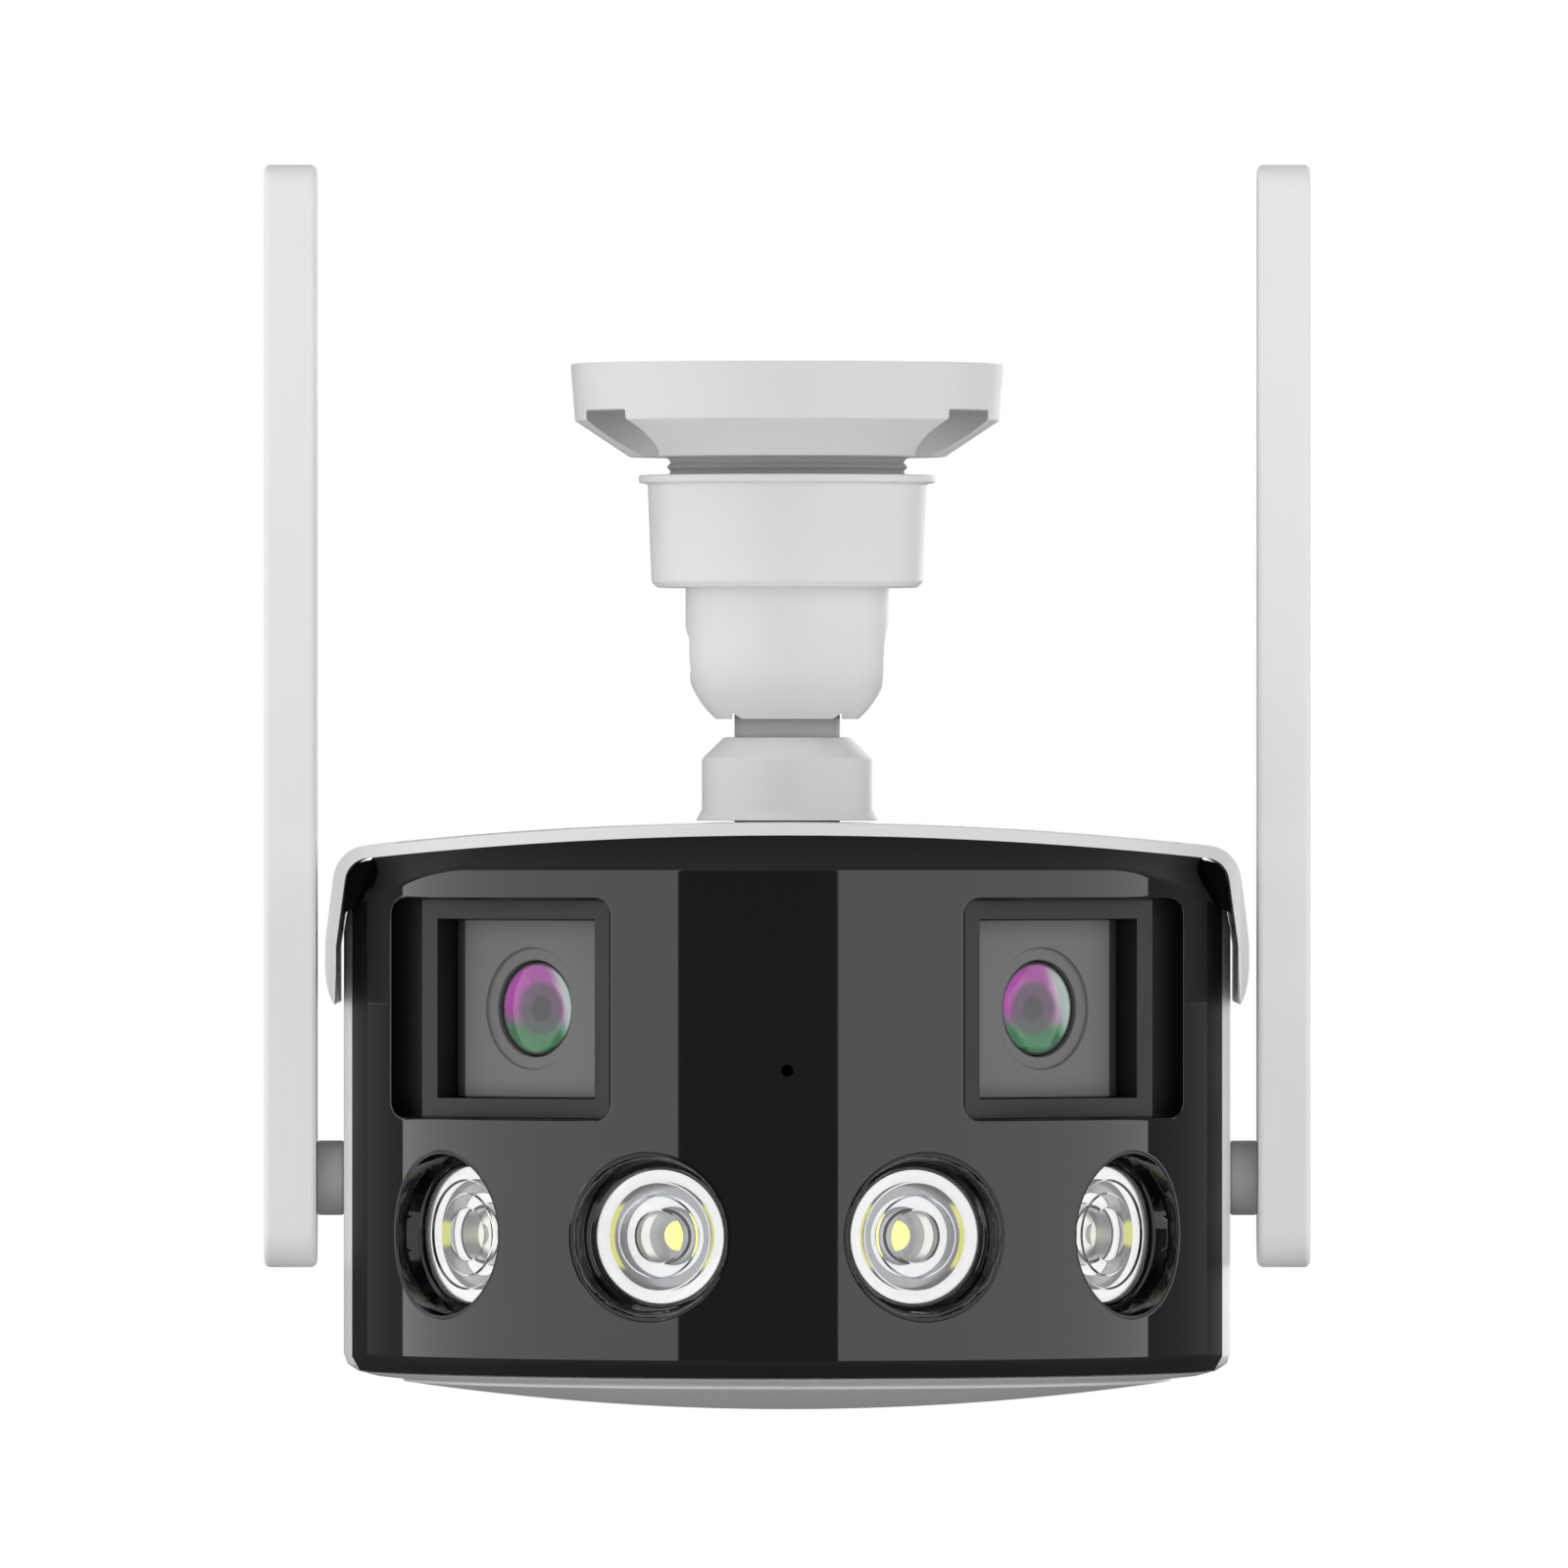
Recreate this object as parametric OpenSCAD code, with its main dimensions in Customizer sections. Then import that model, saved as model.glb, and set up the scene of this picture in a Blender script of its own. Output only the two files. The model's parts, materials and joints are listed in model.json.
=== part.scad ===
// Floodlight security camera: two lenses and four lamps behind a curved black
// front, a sunshield, two swinging antennas and a three-way ceiling bracket.
// Origin: centre of the bracket's ceiling face. The front looks along -Y.

/* [Bracket] */
// Radius of the round ceiling base
base_r = 34.3; // [33:0.1:36]
// Depth of the base below the ceiling
base_depth = 14.7; // [14:0.1:15.5]
// Radius of the dome that holds the tilt joint
arm_r = 16.1; // [15.8:0.1:16.3]
// Radius of the stem between dome and camera
stem_r = 8.35; // [8.1:0.05:8.4]

/* [Camera body] */
// Radius of the curved front, seen from above
body_r = 70.5; // [70:0.1:70.7]
// Length of the straight sides behind the curve
body_back = 28; // [26:0.5:30]
// Wall thickness of the housing
wall = 2.5; // [2:0.1:2.8]

/* [Sunshield] */
// Half the width of the sunshield
hood_half = 73.3; // [73.2:0.1:74]
// Thickness of the sunshield
hood_t = 2; // [1.6:0.1:2.2]

/* [Lenses and lamps] */
// How far each lens is turned outwards
lens_turn = 40; // [38:0.5:41]
// How far the inner lamps are turned outwards
lamp_turn_in = 18.1; // [17:0.1:18.5]
// How far the outer lamps are turned outwards
lamp_turn_out = 50.7; // [50:0.1:52]
// Radius of each lamp hole
lamp_r = 13.35; // [13:0.05:13.4]

/* [Antennas] */
// Length of each antenna blade
antenna_l = 175.7; // [150:0.1:190]
// Width of each antenna blade
antenna_w = 18; // [14:0.5:20]
// Thickness of each antenna blade
antenna_t = 8.3; // [7:0.1:9]

/* [Hidden] */
$fn = 64;
fit = 0.05;              // radial clearance of a running fit
gap = 0.35;              // clearance between parts that pass each other

// Levels, all below the ceiling face
rim_z = -9;
boss_z = -27;            // end of the threaded boss
flange_z = -28.25;       // top of the swivel arm's flange
nut_top = -17.6;
nut_bottom = -35.4;
pivot_z = -46;           // tilt axis
dome_end = -56.2;
collar_top = -59.1;
collar_bottom = -72.3;
hood_top = -72.5;
body_top = -78.6;
body_bottom = -160.9;
belly_z = -165.8;
stem_end = -89.2;
lens_z = -101.8;
lamp_z = -137.4;
mic_z = -111.3;
antenna_z = -129.3;      // antenna pivot
hood_end = -101.4;

body_y = 15;             // axis of the curved front
antenna_y = 27;
back_y = body_y + body_back;
panel_in = body_r - 2.4; // inner radius of the black front
panel_y = 0.2;           // the black front ends here at each side

thread_r = 19.1;
thread_pitch = 1.5;
pocket_angles = [-30, -150, 90];
hole_pcr = 28.5;         // radius of the circle of base screws
hole_r = 2.2;
spigot_r = 10;
tilt_r = 2.5;            // tilt screw
head_x = 12.5;           // seat of its head and nut
slot_half = stem_r + gap;

frame_n = 66.3;          // face of the lens frame, from the body's axis
frame_u = 19.45;
frame_h = 17.1;
window_u = 16.25;
window_h = 14.1;
opening_x = [27.7, 62.4];
plate_n = 62.3;
barrel_r = 6;
holder_n = [38, 50];
cup_n = 54;
lamp_face_n = 65.6;
lamp_angles = [-lamp_turn_out, -lamp_turn_in, lamp_turn_in, lamp_turn_out];
inner_side = body_r - wall;
cavity_top = body_top - wall;
cavity_bottom = -158.2;
rear_t = 2.5;
post_x = 60;
post_z = [-88, -151];
gland_x = 47;
gland_z = -138;
gland_r = 6;
service_y = 22;
grille_x = -34;
hub_r = 5.95;
hub_pin = 4;

SIDES = ["left", "right"];

// ---- helpers ----

function arc_points(cx, cy, r, a0, a1, n) =
  [for (i = [0:n]) let(a = a0 + (a1 - a0) * i / n) [cx + r * cos(a), cy + r * sin(a)]];
function flip(points) = [for (i = [len(points) - 1:-1:0]) [-points[i].x, points[i].y]];
function both_sides(points) =
  concat(points, [for (p = flip(points)) if (p.x < -0.001) p]);

// Solid with a half-round front and straight sides, from a half outline in (x, z)
module d_solid(outline, back) {
  translate([0, body_y, 0]) rotate([0, 0, 180]) rotate_extrude(angle = 180) polygon(outline);
  translate([0, body_y + back, 0]) rotate([90, 0, 0]) linear_extrude(back) polygon(both_sides(outline));
}

// Places children in the frame of something turned outwards by an angle: -Y is outwards
module turned(angle) {
  translate([0, body_y, 0]) rotate([0, 0, angle]) children();
}

// Children's +Z points outwards from the body's axis
module outwards(angle, n, z) {
  turned(angle) translate([0, -n, z]) rotate([90, 0, 0]) children();
}

// Right-hand pieces are drawn as they are and left-hand ones mirrored
module side(s) {
  if (s == "right") children();
  else mirror([1, 0, 0]) children();
}

module bored(r_out, r_in, h) {
  difference() {
    cylinder(r = r_out, h = h);
    translate([0, 0, -1]) cylinder(r = r_in, h = h + 2);
  }
}

// Box from one corner to the other
module block(low, high) {
  translate(low) cube(high - low);
}

// ---- bracket ----

module base_holes(r, z0, z1) {
  for (a = pocket_angles) rotate([0, 0, a]) translate([hole_pcr, 0, z0]) cylinder(r = r, h = z1 - z0);
}

module mount_base() {
  turns = 8;
  color("white") difference() {
    rotate_extrude() polygon(concat(
      [[0, -1], [32.8, -1], [32.8, 0], [base_r, 0], [base_r - 0.7, rim_z], [25, -base_depth]],
      [for (i = [0:turns - 1]) each [[thread_r, -base_depth - 0.1 - i * thread_pitch],
        [thread_r - 0.7, -base_depth - 0.1 - (i + 0.5) * thread_pitch]]],
      [[thread_r, boss_z], [0, boss_z]]));
    translate([0, 0, boss_z - 1]) cylinder(r = spigot_r + fit, h = -8 - boss_z + 1);
    for (a = pocket_angles)
      rotate([0, 0, a]) translate([hole_pcr + 2.5, 0, -20]) cylinder(r = 6.5, h = 20 - 7.6);
    base_holes(hole_r, -10, 1);
  }
}

module base_gasket() {
  color("dimgray") difference() {
    translate([0, 0, -1]) cylinder(r = 32.6, h = 1);
    base_holes(hole_r + 0.5, -2, 1);
  }
}

module friction_washer() {
  color("gray") translate([0, 0, boss_z - 1.2]) bored(18.4, spigot_r + 0.4, 1.2);
}

module clamp_nut() {
  bore = thread_r + fit;
  color("white") rotate_extrude() polygon([
    [bore, nut_top], [23.5, nut_top], [23.5, nut_top - 1.2], [22.1, nut_top - 1.4],
    [21.5, nut_bottom + 0.9], [20.6, nut_bottom], [arm_r + gap, nut_bottom],
    [arm_r + gap, nut_bottom + 2], [20, nut_bottom + 2], [20, -27.4], [bore, -27.4]]);
}

module swivel_arm() {
  fall = pivot_z - dome_end;
  dome_h = fall / sqrt(1 - pow(11.3 / 16.1, 2));
  dome = [for (i = [0:14]) let(z = fall * i / 14)
    [arm_r * sqrt(1 - pow(z / dome_h, 2)), pivot_z - z]];
  color("white") difference() {
    rotate_extrude() polygon(concat(
      [[0, -9], [spigot_r, -9], [spigot_r, flange_z], [19.6, flange_z], [19.6, -33.2],
       [arm_r, -33.2]], dome, [[0, dome_end]]));
    block([-slot_half, -slot_half, dome_end - 1], [slot_half, 25, pivot_z + slot_half]);
    // room for the lock collar at full tilt
    block([-slot_half - 2, 10.8, dome_end - 1], [slot_half + 2, 25, pivot_z + 1.2]);
    translate([-20, 0, pivot_z]) rotate([0, 90, 0]) cylinder(r = tilt_r + fit, h = 40);
    translate([head_x, 0, pivot_z]) rotate([0, 90, 0]) cylinder(r = 5, h = 10);
    translate([-head_x - 10, 0, pivot_z]) rotate([0, 90, 0]) cylinder(r = 5, h = 10, $fn = 6);
  }
}

module tilt_screw() {
  color("silver") difference() {
    union() {
      translate([-15, 0, pivot_z]) rotate([0, 90, 0]) cylinder(r = tilt_r, h = 28);
      translate([head_x, 0, pivot_z]) rotate([0, 90, 0]) cylinder(r = 4.7, h = 2.5);
    }
    translate([head_x + 1, 0, pivot_z]) rotate([0, 90, 0]) cylinder(r = 2, h = 5, $fn = 6);
  }
}

module tilt_nut() {
  color("silver") translate([-15, 0, pivot_z]) rotate([0, 90, 0]) difference() {
    cylinder(r = 4.7, h = 2.5, $fn = 6);
    translate([0, 0, -1]) cylinder(r = tilt_r + fit, h = 5);
  }
}

module tilt_stem() {
  eye_r = stem_r - 0.2;
  color("gainsboro") difference() {
    union() {
      translate([-7.9, 0, pivot_z]) rotate([0, 90, 0]) cylinder(r = eye_r, h = 15.8);
      translate([0, 0, -86]) cylinder(r = stem_r, h = pivot_z + 86);
      translate([0, 0, stem_end]) cylinder(r = 7, h = 4);
    }
    translate([-20, 0, pivot_z]) rotate([0, 90, 0]) cylinder(r = tilt_r + fit, h = 40);
  }
}

module stem_clip() {
  color("silver") translate([0, 0, stem_end + 0.4]) bored(11, 7 + fit, 2.6);
}

module lock_collar() {
  bore = stem_r + 0.07;
  color("white") rotate_extrude() polygon([
    [bore, collar_top], [10, collar_top], [13.5, collar_top - 3.4], [13.5, -70.5],
    [14.5, collar_bottom], [bore, collar_bottom]]);
}

// ---- sunshield ----

arch_r = 600;
corner_r = 6;
corner_x = 66.5;
flare = 8;
arch_end = 90 - asin(corner_x / arch_r);
corner_c = [(arch_r - corner_r) * cos(arch_end), hood_top - arch_r + (arch_r - corner_r) * sin(arch_end)];
corner_p = [corner_c.x + corner_r * cos(flare), corner_c.y + corner_r * sin(flare)];
side_z = corner_p.y - (hood_half - corner_p.x) / tan(flare);

// Half of the sunshield's section, inset from its outer face by d
function hood_line(d) = concat(
  arc_points(0, hood_top - arch_r, arch_r - d, 90, arch_end, 12),
  arc_points(corner_c.x, corner_c.y, corner_r - d, arch_end - 8, flare, 8),
  [[hood_half - d, side_z]]);

module hood_section() {
  outer = hood_line(0);
  inner = hood_line(hood_t);
  // the lower edge is feathered towards the body
  half = concat(outer, [[hood_half, hood_end + 6], [hood_half - 0.3, hood_end + 3.5],
    [hood_half - 0.8, hood_end + 1.7], [hood_half - 1.4, hood_end + 0.4], [hood_half - hood_t + 0.3, hood_end],
    [hood_half - hood_t, hood_end + 0.3]],
    [for (i = [len(inner) - 1:-1:0]) inner[i]]);
  polygon(concat([for (i = [len(half) - 1:-1:0]) [-half[i].x, half[i].y]], half));
}

hood_y = 6;
hood_back = 40;
screw_xy = [[-40, -20], [40, -20], [-40, 30], [40, 30]];

module sunshield() {
  color("white") difference() {
    intersection() {
      translate([0, hood_y + hood_back, 0]) rotate([90, 0, 0]) linear_extrude(hood_back + 80) hood_section();
      union() {
        translate([0, hood_y, -110]) cylinder(r = hood_half, h = 50, $fn = 128);
        block([-hood_half - 1, hood_y, -110], [hood_half + 1, hood_y + hood_back, -60]);
      }
    }
    translate([0, 0, -80]) cylinder(r = stem_r + gap + 0.3, h = 12);
    for (p = screw_xy) {
      translate([p.x, p.y, -80]) cylinder(r = 1.7, h = 10);
      translate([p.x, p.y, -75]) cylinder(r = 3.1, h = 5);
    }
  }
}

module sunshield_screws() {
  color("silver") for (p = screw_xy) translate([p.x, p.y, -83]) difference() {
    union() {
      cylinder(r = 1.5, h = 8.5);
      translate([0, 0, 8]) cylinder(r = 2.9, h = 0.8);
    }
    translate([0, 0, 8.3]) cylinder(r = 1, h = 2, $fn = 6);
  }
}

// ---- housing ----

shell_line = [[0, body_top], [66.5, body_top], [69, -80.9], [body_r, -90], [body_r, -157],
  [body_r - 0.6, -158.6], [body_r - 2.3, -159.7], [body_r - 5, -160.4], [61, body_bottom], [0, body_bottom]];
cavity_line = [[0, cavity_top], [65.4, cavity_top], [inner_side - 0.6, -83.4], [inner_side, -90],
  [inner_side, cavity_bottom], [0, cavity_bottom]];

module housing_shell() {
  seat_in = panel_in - 0.6;
  color("white") difference() {
    union() {
      difference() {
        d_solid(shell_line, body_back);
        d_solid(cavity_line, body_back + 5);
        // the seat of the black front
        intersection() {
          translate([0, body_y, -159.6]) bored(80, seat_in, 82.6);
          block([-90, -90, -159.6], [90, panel_y + 0.2, -77]);
        }
      }
      // boss that turns on the stem
      translate([0, 0, -86]) cylinder(r = 12, h = -74.8 + 86);
      // posts under the sunshield's screws
      for (p = screw_xy) translate([p.x, p.y, -84]) cylinder(r = 4, h = 84 - 76.3);
      // bosses of the rear screws
      for (x = [-post_x, post_x]) for (z = post_z)
        translate([x, back_y - 3.6, z]) rotate([90, 0, 0]) cylinder(r = 4.5, h = 22);
      // bosses of the antenna pins
      for (s = [-1, 1]) translate([s * 66.2 - 2.6, antenna_y, antenna_z]) rotate([0, 90, 0]) cylinder(r = 7.5, h = 5.2);
    }
    translate([0, 0, -90]) cylinder(r = stem_r + fit, h = 20);
    for (p = screw_xy) translate([p.x, p.y, -83.4]) cylinder(r = 1.55, h = 10);
    for (x = [-post_x, post_x]) for (z = post_z)
      translate([x, back_y, z]) rotate([90, 0, 0]) cylinder(r = 1.55, h = 16);
    for (x = [-80, 50]) translate([x, antenna_y, antenna_z]) rotate([0, 90, 0]) cylinder(r = hub_pin + fit, h = 30);
    // way to the reset button, and the sound of the speaker
    block([-8, service_y - 4, -164], [8, service_y + 4, -157]);
    grille_holes(-164, 8);
  }
}

module grille_holes(z, h) {
  translate([grille_x, service_y, z]) {
    cylinder(r = 0.9, h = h);
    for (a = [0:60:300]) rotate([0, 0, a]) translate([4, 0, 0]) cylinder(r = 0.9, h = h);
  }
}

module front_panel() {
  lip = body_top + 0.1;
  line = [[panel_in, lip], [62.5, lip], [62.5, -74.8], [66.2, -74.8], [body_r, -79.7], [body_r, -157.2],
    [body_r - 1.2, -159.4], [panel_in, -159.4]];
  under_hood = hood_line(hood_t + 0.3);
  color("black") difference() {
    intersection() {
      translate([0, body_y, 0]) rotate([0, 0, 180]) rotate_extrude(angle = 180) polygon(line);
      translate([0, body_y, 0]) rotate([90, 0, 0]) linear_extrude(100)
        polygon(both_sides(concat(under_hood, [[hood_half - hood_t - 0.3, -170], [0, -170]])));
    }
    block([-90, panel_y, -170], [90, body_y + 5, -70]);
    for (s = SIDES) side(s)
      block([opening_x[0], -70, lens_z - frame_h - 0.1], [opening_x[1], 0, lens_z + frame_h + 0.1]);
    for (a = lamp_angles) outwards(a, cup_n, lamp_z) cylinder(r = lamp_r, h = 30);
    translate([0, -50, mic_z]) rotate([90, 0, 0]) cylinder(r = 0.95, h = 10);
  }
}

module bottom_cover() {
  sag = body_bottom - 0.4 - belly_z;
  belly_r = (61 * 61 + sag * sag) / (2 * sag);
  half = asin(61 / belly_r);
  color("white") difference() {
    d_solid(concat([[0, body_bottom], [61, body_bottom]],
      arc_points(0, belly_z + belly_r, belly_r, half - 90, -90, 16)), body_back - 3);
    block([-13.2, service_y - 7.2, -170], [13.2, service_y + 7.2, -163.2]);
    block([-8, service_y - 4, -164], [8, service_y + 4, -160]);
    for (x = [-10.4, 10.4]) translate([x, service_y, -166]) cylinder(r = 1.05, h = 4);
    grille_holes(-170, 10);
  }
}

module rear_line_plate(inset, y, t) {
  line = [[0, cavity_top - inset], [65.4 - inset, cavity_top - inset], [inner_side - 0.6 - inset, -83.4 - inset],
    [inner_side - inset, -90], [inner_side - inset, cavity_bottom + inset], [0, cavity_bottom + inset]];
  translate([0, y + t, 0]) rotate([90, 0, 0]) linear_extrude(t) polygon(both_sides(line));
}

module rear_cover() {
  color("white") difference() {
    rear_line_plate(0.15, back_y - rear_t, rear_t);
    for (x = [-post_x, post_x]) for (z = post_z) {
      translate([x, back_y + 1, z]) rotate([90, 0, 0]) cylinder(r = 1.8, h = 5);
      translate([x, back_y + 1, z]) rotate([90, 0, 0]) cylinder(r = 3.2, h = 2.4);
    }
    translate([gland_x, back_y + 1, gland_z]) rotate([90, 0, 0]) cylinder(r = gland_r + 0.1, h = 5);
  }
}

module rear_gasket() {
  color("dimgray") difference() {
    rear_line_plate(0.3, back_y - rear_t - 1, 1);
    block([-55, 20, -152], [55, 60, -88]);
    for (x = [-post_x, post_x]) for (z = post_z)
      translate([x, back_y, z]) rotate([90, 0, 0]) cylinder(r = 1.8, h = 6);
  }
}

module rear_screws() {
  color("silver") for (x = [-post_x, post_x]) for (z = post_z)
    translate([x, back_y - 0.1, z]) rotate([90, 0, 0]) difference() {
      union() {
        cylinder(r = 2.9, h = 1.2);
        cylinder(r = 1.5, h = 12);
      }
      translate([0, 0, -1]) cylinder(r = 1, h = 1.7, $fn = 6);
    }
}

// ---- lens modules, each in its turned frame ----

module window_frame(s) {
  color("#3a3a3a") side(s) difference() {
    turned(lens_turn) difference() {
      union() {
        block([-frame_u, -frame_n, lens_z - frame_h], [frame_u, -57.5, lens_z + frame_h]);
        intersection() {
          difference() {
            block([frame_u - 2, -69, lens_z - 18.2], [31.8, -57.5, lens_z + 18.2]);
            block([frame_u - 3, -70, lens_z - frame_h - 0.1], [40, -59.5, lens_z + frame_h + 0.1]);
          }
          translate([0, 0, -130]) cylinder(r = panel_in - 0.1, h = 60, $fn = 256);
        }
      }
      block([-window_u, -80, lens_z - window_h], [window_u, -58.7, lens_z + window_h]);
      translate([0, -50, lens_z]) rotate([90, 0, 0]) cylinder(r = 7.9, h = 20);
    }
    // corner trimmed where it meets the black front
    intersection() {
      translate([0, body_y, -130]) bored(80, panel_in - 0.1, 60);
      block([0, -70, -130], [opening_x[0] + 0.1, 0, -70]);
    }
  }
}

module lens_plate(s) {
  color("#6e6e6e") side(s) turned(lens_turn) translate([0, 0, lens_z]) difference() {
    translate([0, 0, -window_h + 0.1]) linear_extrude(2 * window_h - 0.2)
      polygon([[-window_u + 0.1, -58.8], [-window_u + 0.1, -plate_n], [13.9, -plate_n],
        [window_u - 0.15, -plate_n + 0.6], [window_u - 0.15, -58.8]]);
    translate([0, -50, 0]) rotate([90, 0, 0]) cylinder(r = 7.6, h = 20);
    translate([0, -plate_n + 0.6, 0]) rotate([90, 0, 0]) cylinder(r = 9.55, h = 5);
  }
}

module lens_barrel(s) {
  color("#181818") side(s) outwards(lens_turn, 0, lens_z) rotate_extrude() polygon([
    [4.6, 42.2], [barrel_r, 42.2], [barrel_r, 55], [7.3, 55], [7.3, 60.9], [6.95, 60.9], [6.95, 58.4], [4.6, 58.4]]);
}

module lens_glass(s) {
  dome_r = (6.85 * 6.85 + 4) / 4;
  color("indigo") side(s) outwards(lens_turn, 0, lens_z) rotate_extrude() polygon(concat(
    [[0, 58.5], [6.85, 58.5]], arc_points(0, 61.6 - dome_r, dome_r, 90 - asin(6.85 / dome_r), 90, 10)));
}

module lens_holder(s) {
  color("#222222") side(s) turned(lens_turn) translate([0, 0, lens_z]) difference() {
    block([-11, -holder_n[1], -8], [11, -holder_n[0], 8]);
    translate([0, -41, 0]) rotate([90, 0, 0]) cylinder(r = barrel_r + fit, h = 20);
    block([-9.6, -41.1, -4.3], [9.6, -39.2, 4.3]);
    block([-4.5, -39.5, -4], [4.5, -37, 4]);
  }
}

module ir_filter(s) {
  color("red") side(s) turned(lens_turn) translate([0, 0, lens_z])
    block([-9.2, -40.8, -3.9], [4, -39.5, 3.9]);
}

module sensor_board(s) {
  color("darkgreen") side(s) turned(lens_turn) translate([0, 0, lens_z]) {
    block([-14, -holder_n[0], -12.8], [14, -36.4, 12.8]);
    block([-3.4, -38.8, -3], [3.4, -37.9, 3]);
  }
}

// ---- lamps ----

module led_cup(i) {
  color("#1b1b1b") intersection() {
    outwards(lamp_angles[i], 0, lamp_z) rotate_extrude() polygon([
      [11.15, cup_n], [lamp_r - 0.1, cup_n], [lamp_r - 0.1, 72], [12.7, 72], [12.7, 68], [11.6, lamp_face_n],
      [11.15, lamp_face_n - 0.2]]);
    translate([0, body_y, -170]) cylinder(r = body_r - 0.25, h = 100, $fn = 256);
  }
}

module led_lens(i) {
  color("gainsboro") outwards(lamp_angles[i], 0, lamp_z) rotate_extrude() polygon([
    [0, 59.4], [2.6, 59], [2.6, 56.4], [4.8, 56.4], [8.4, 60.4], [10.2, 63.9], [11.05, 64], [11.05, 65.2],
    [4.6, 65.2], [4.4, 62.8], [0, 63.4]]);
}

module led_board(i) {
  color("white") outwards(lamp_angles[i], 0, lamp_z) {
    translate([0, 0, 52.4]) cylinder(r = 10, h = 1.6);
    translate([-1.75, -1.75, 53.9]) cube([3.5, 3.5, 0.9]);
    translate([0, 0, 54.7]) cylinder(r = 1.6, h = 0.6);
  }
}

// ---- inside ----

module mic_boot() {
  color("dimgray") intersection() {
    translate([0, -46, mic_z]) rotate([90, 0, 0]) difference() {
      cylinder(r = 4.5, h = 10);
      translate([0, 0, 1]) cylinder(r = 3.05, h = 4);
      cylinder(r = 0.95, h = 20);
    }
    translate([0, body_y, -120]) cylinder(r = panel_in - 0.05, h = 20, $fn = 256);
  }
}

module mic_capsule() {
  color("silver") translate([0, -47.2, mic_z]) rotate([90, 0, 0]) cylinder(r = 3, h = 3.6);
}

module speaker() {
  color("#222222") translate([grille_x, service_y, cavity_bottom]) difference() {
    cylinder(r = 11, h = 6.5);
    translate([0, 0, -1]) cylinder(r = 7, h = 3);
  }
}

module main_board() {
  color("darkgreen") block([-54, 24, -148], [54, 25.6, -93]);
  color("dimgray") for (x = [-22, 6, 34]) block([x, 21.5, -118], [x + 12, 24.1, -106]);
}

module heat_sink() {
  color("silver") {
    block([-34, 25.6, -146], [34, 27.6, -96]);
    for (i = [0:7]) block([-34 + i * 9.4, 27.5, -146], [-31.8 + i * 9.4, 37, -96]);
  }
}

module cable_gland() {
  color("#2a2a2a") translate([gland_x, back_y - 7, gland_z]) rotate([-90, 0, 0]) difference() {
    union() {
      cylinder(r = gland_r, h = 8);
      translate([0, 0, 7]) cylinder(r = 9.2, h = 4, $fn = 6);
      translate([0, 0, 10.5]) cylinder(r = 7.6, h = 7);
    }
    translate([0, 0, -1]) cylinder(r = 3, h = 30);
    translate([0, 0, -1]) cylinder(r = 4, h = 8.5);
  }
}

module gland_nut() {
  color("#2a2a2a") translate([gland_x, back_y - rear_t - 3.2, gland_z]) rotate([-90, 0, 0]) difference() {
    cylinder(r = 7.8, h = 3.2, $fn = 6);
    translate([0, 0, -1]) cylinder(r = gland_r + fit, h = 6);
  }
}

module service_cover() {
  color("white") difference() {
    block([-13, service_y - 7, -165.4], [13, service_y + 7, -163.4]);
    for (x = [-10.4, 10.4]) translate([x, service_y, -166]) {
      cylinder(r = 1.2, h = 4);
      cylinder(r = 2.1, h = 1.4);
    }
  }
}

module service_screws() {
  color("silver") for (x = [-10.4, 10.4]) translate([x, service_y, -165.3]) {
    cylinder(r = 1.95, h = 0.7);
    cylinder(r = 1, h = 3);
  }
}

module switch_body() {
  color("#222222") difference() {
    union() {
      block([-7.5, service_y - 7, -154.2], [7.5, service_y + 7, -153]);
      block([-3, service_y - 3, -157.4], [3, service_y + 3, -154.1]);
    }
    translate([0, service_y, -158]) cylinder(r = 1.3, h = 3);
  }
}

module reset_button() {
  color("red") translate([0, service_y, -160]) cylinder(r = 1.22, h = 4.2);
}

// ---- antennas ----

module antenna(s) {
  low = -143.5;
  half = antenna_w / 2;
  r = 6;
  color("white") side(s) difference() {
    translate([75, antenna_y, 0]) rotate([90, 0, 90]) linear_extrude(antenna_t) polygon(both_sides(concat(
      [[0, low + antenna_l]], arc_points(half - r, low + antenna_l - r, r, 90, 0, 6),
      arc_points(half - r, low + r, r, 0, -90, 6), [[0, low]])));
    block([77.5, antenna_y - 6.5, -110], [80.5, antenna_y + 6.5, 28]);
  }
}

module antenna_hub(s) {
  color("gray") side(s) translate([0, antenna_y, antenna_z]) rotate([0, 90, 0]) {
    translate([0, 0, 62.6]) cylinder(r = hub_pin, h = 9);
    translate([0, 0, body_r + 0.1]) cylinder(r = hub_r, h = 75 - body_r - 0.1);
    translate([0, 0, 60.6]) cylinder(r = 6, h = 2.6);
  }
}

// ---- nodes ----

mount_base();
base_gasket();
friction_washer();
clamp_nut();
swivel_arm();
tilt_screw();
tilt_nut();
tilt_stem();
stem_clip();
lock_collar();
sunshield();
sunshield_screws();
housing_shell();
front_panel();
bottom_cover();
rear_cover();
rear_gasket();
rear_screws();
mic_boot();
mic_capsule();
speaker();
main_board();
heat_sink();
cable_gland();
gland_nut();
service_cover();
service_screws();
switch_body();
reset_button();
for (s = SIDES) {
  window_frame(s);
  lens_plate(s);
  lens_barrel(s);
  lens_glass(s);
  lens_holder(s);
  ir_filter(s);
  sensor_board(s);
  antenna(s);
  antenna_hub(s);
}
for (i = [0:3]) {
  led_cup(i);
  led_lens(i);
  led_board(i);
}
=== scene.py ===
"""Floodlight security camera: fine pieces, finishes and a studio around its CAD frame."""
import json
import math

import bpy
from mathutils import Matrix, Vector

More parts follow.
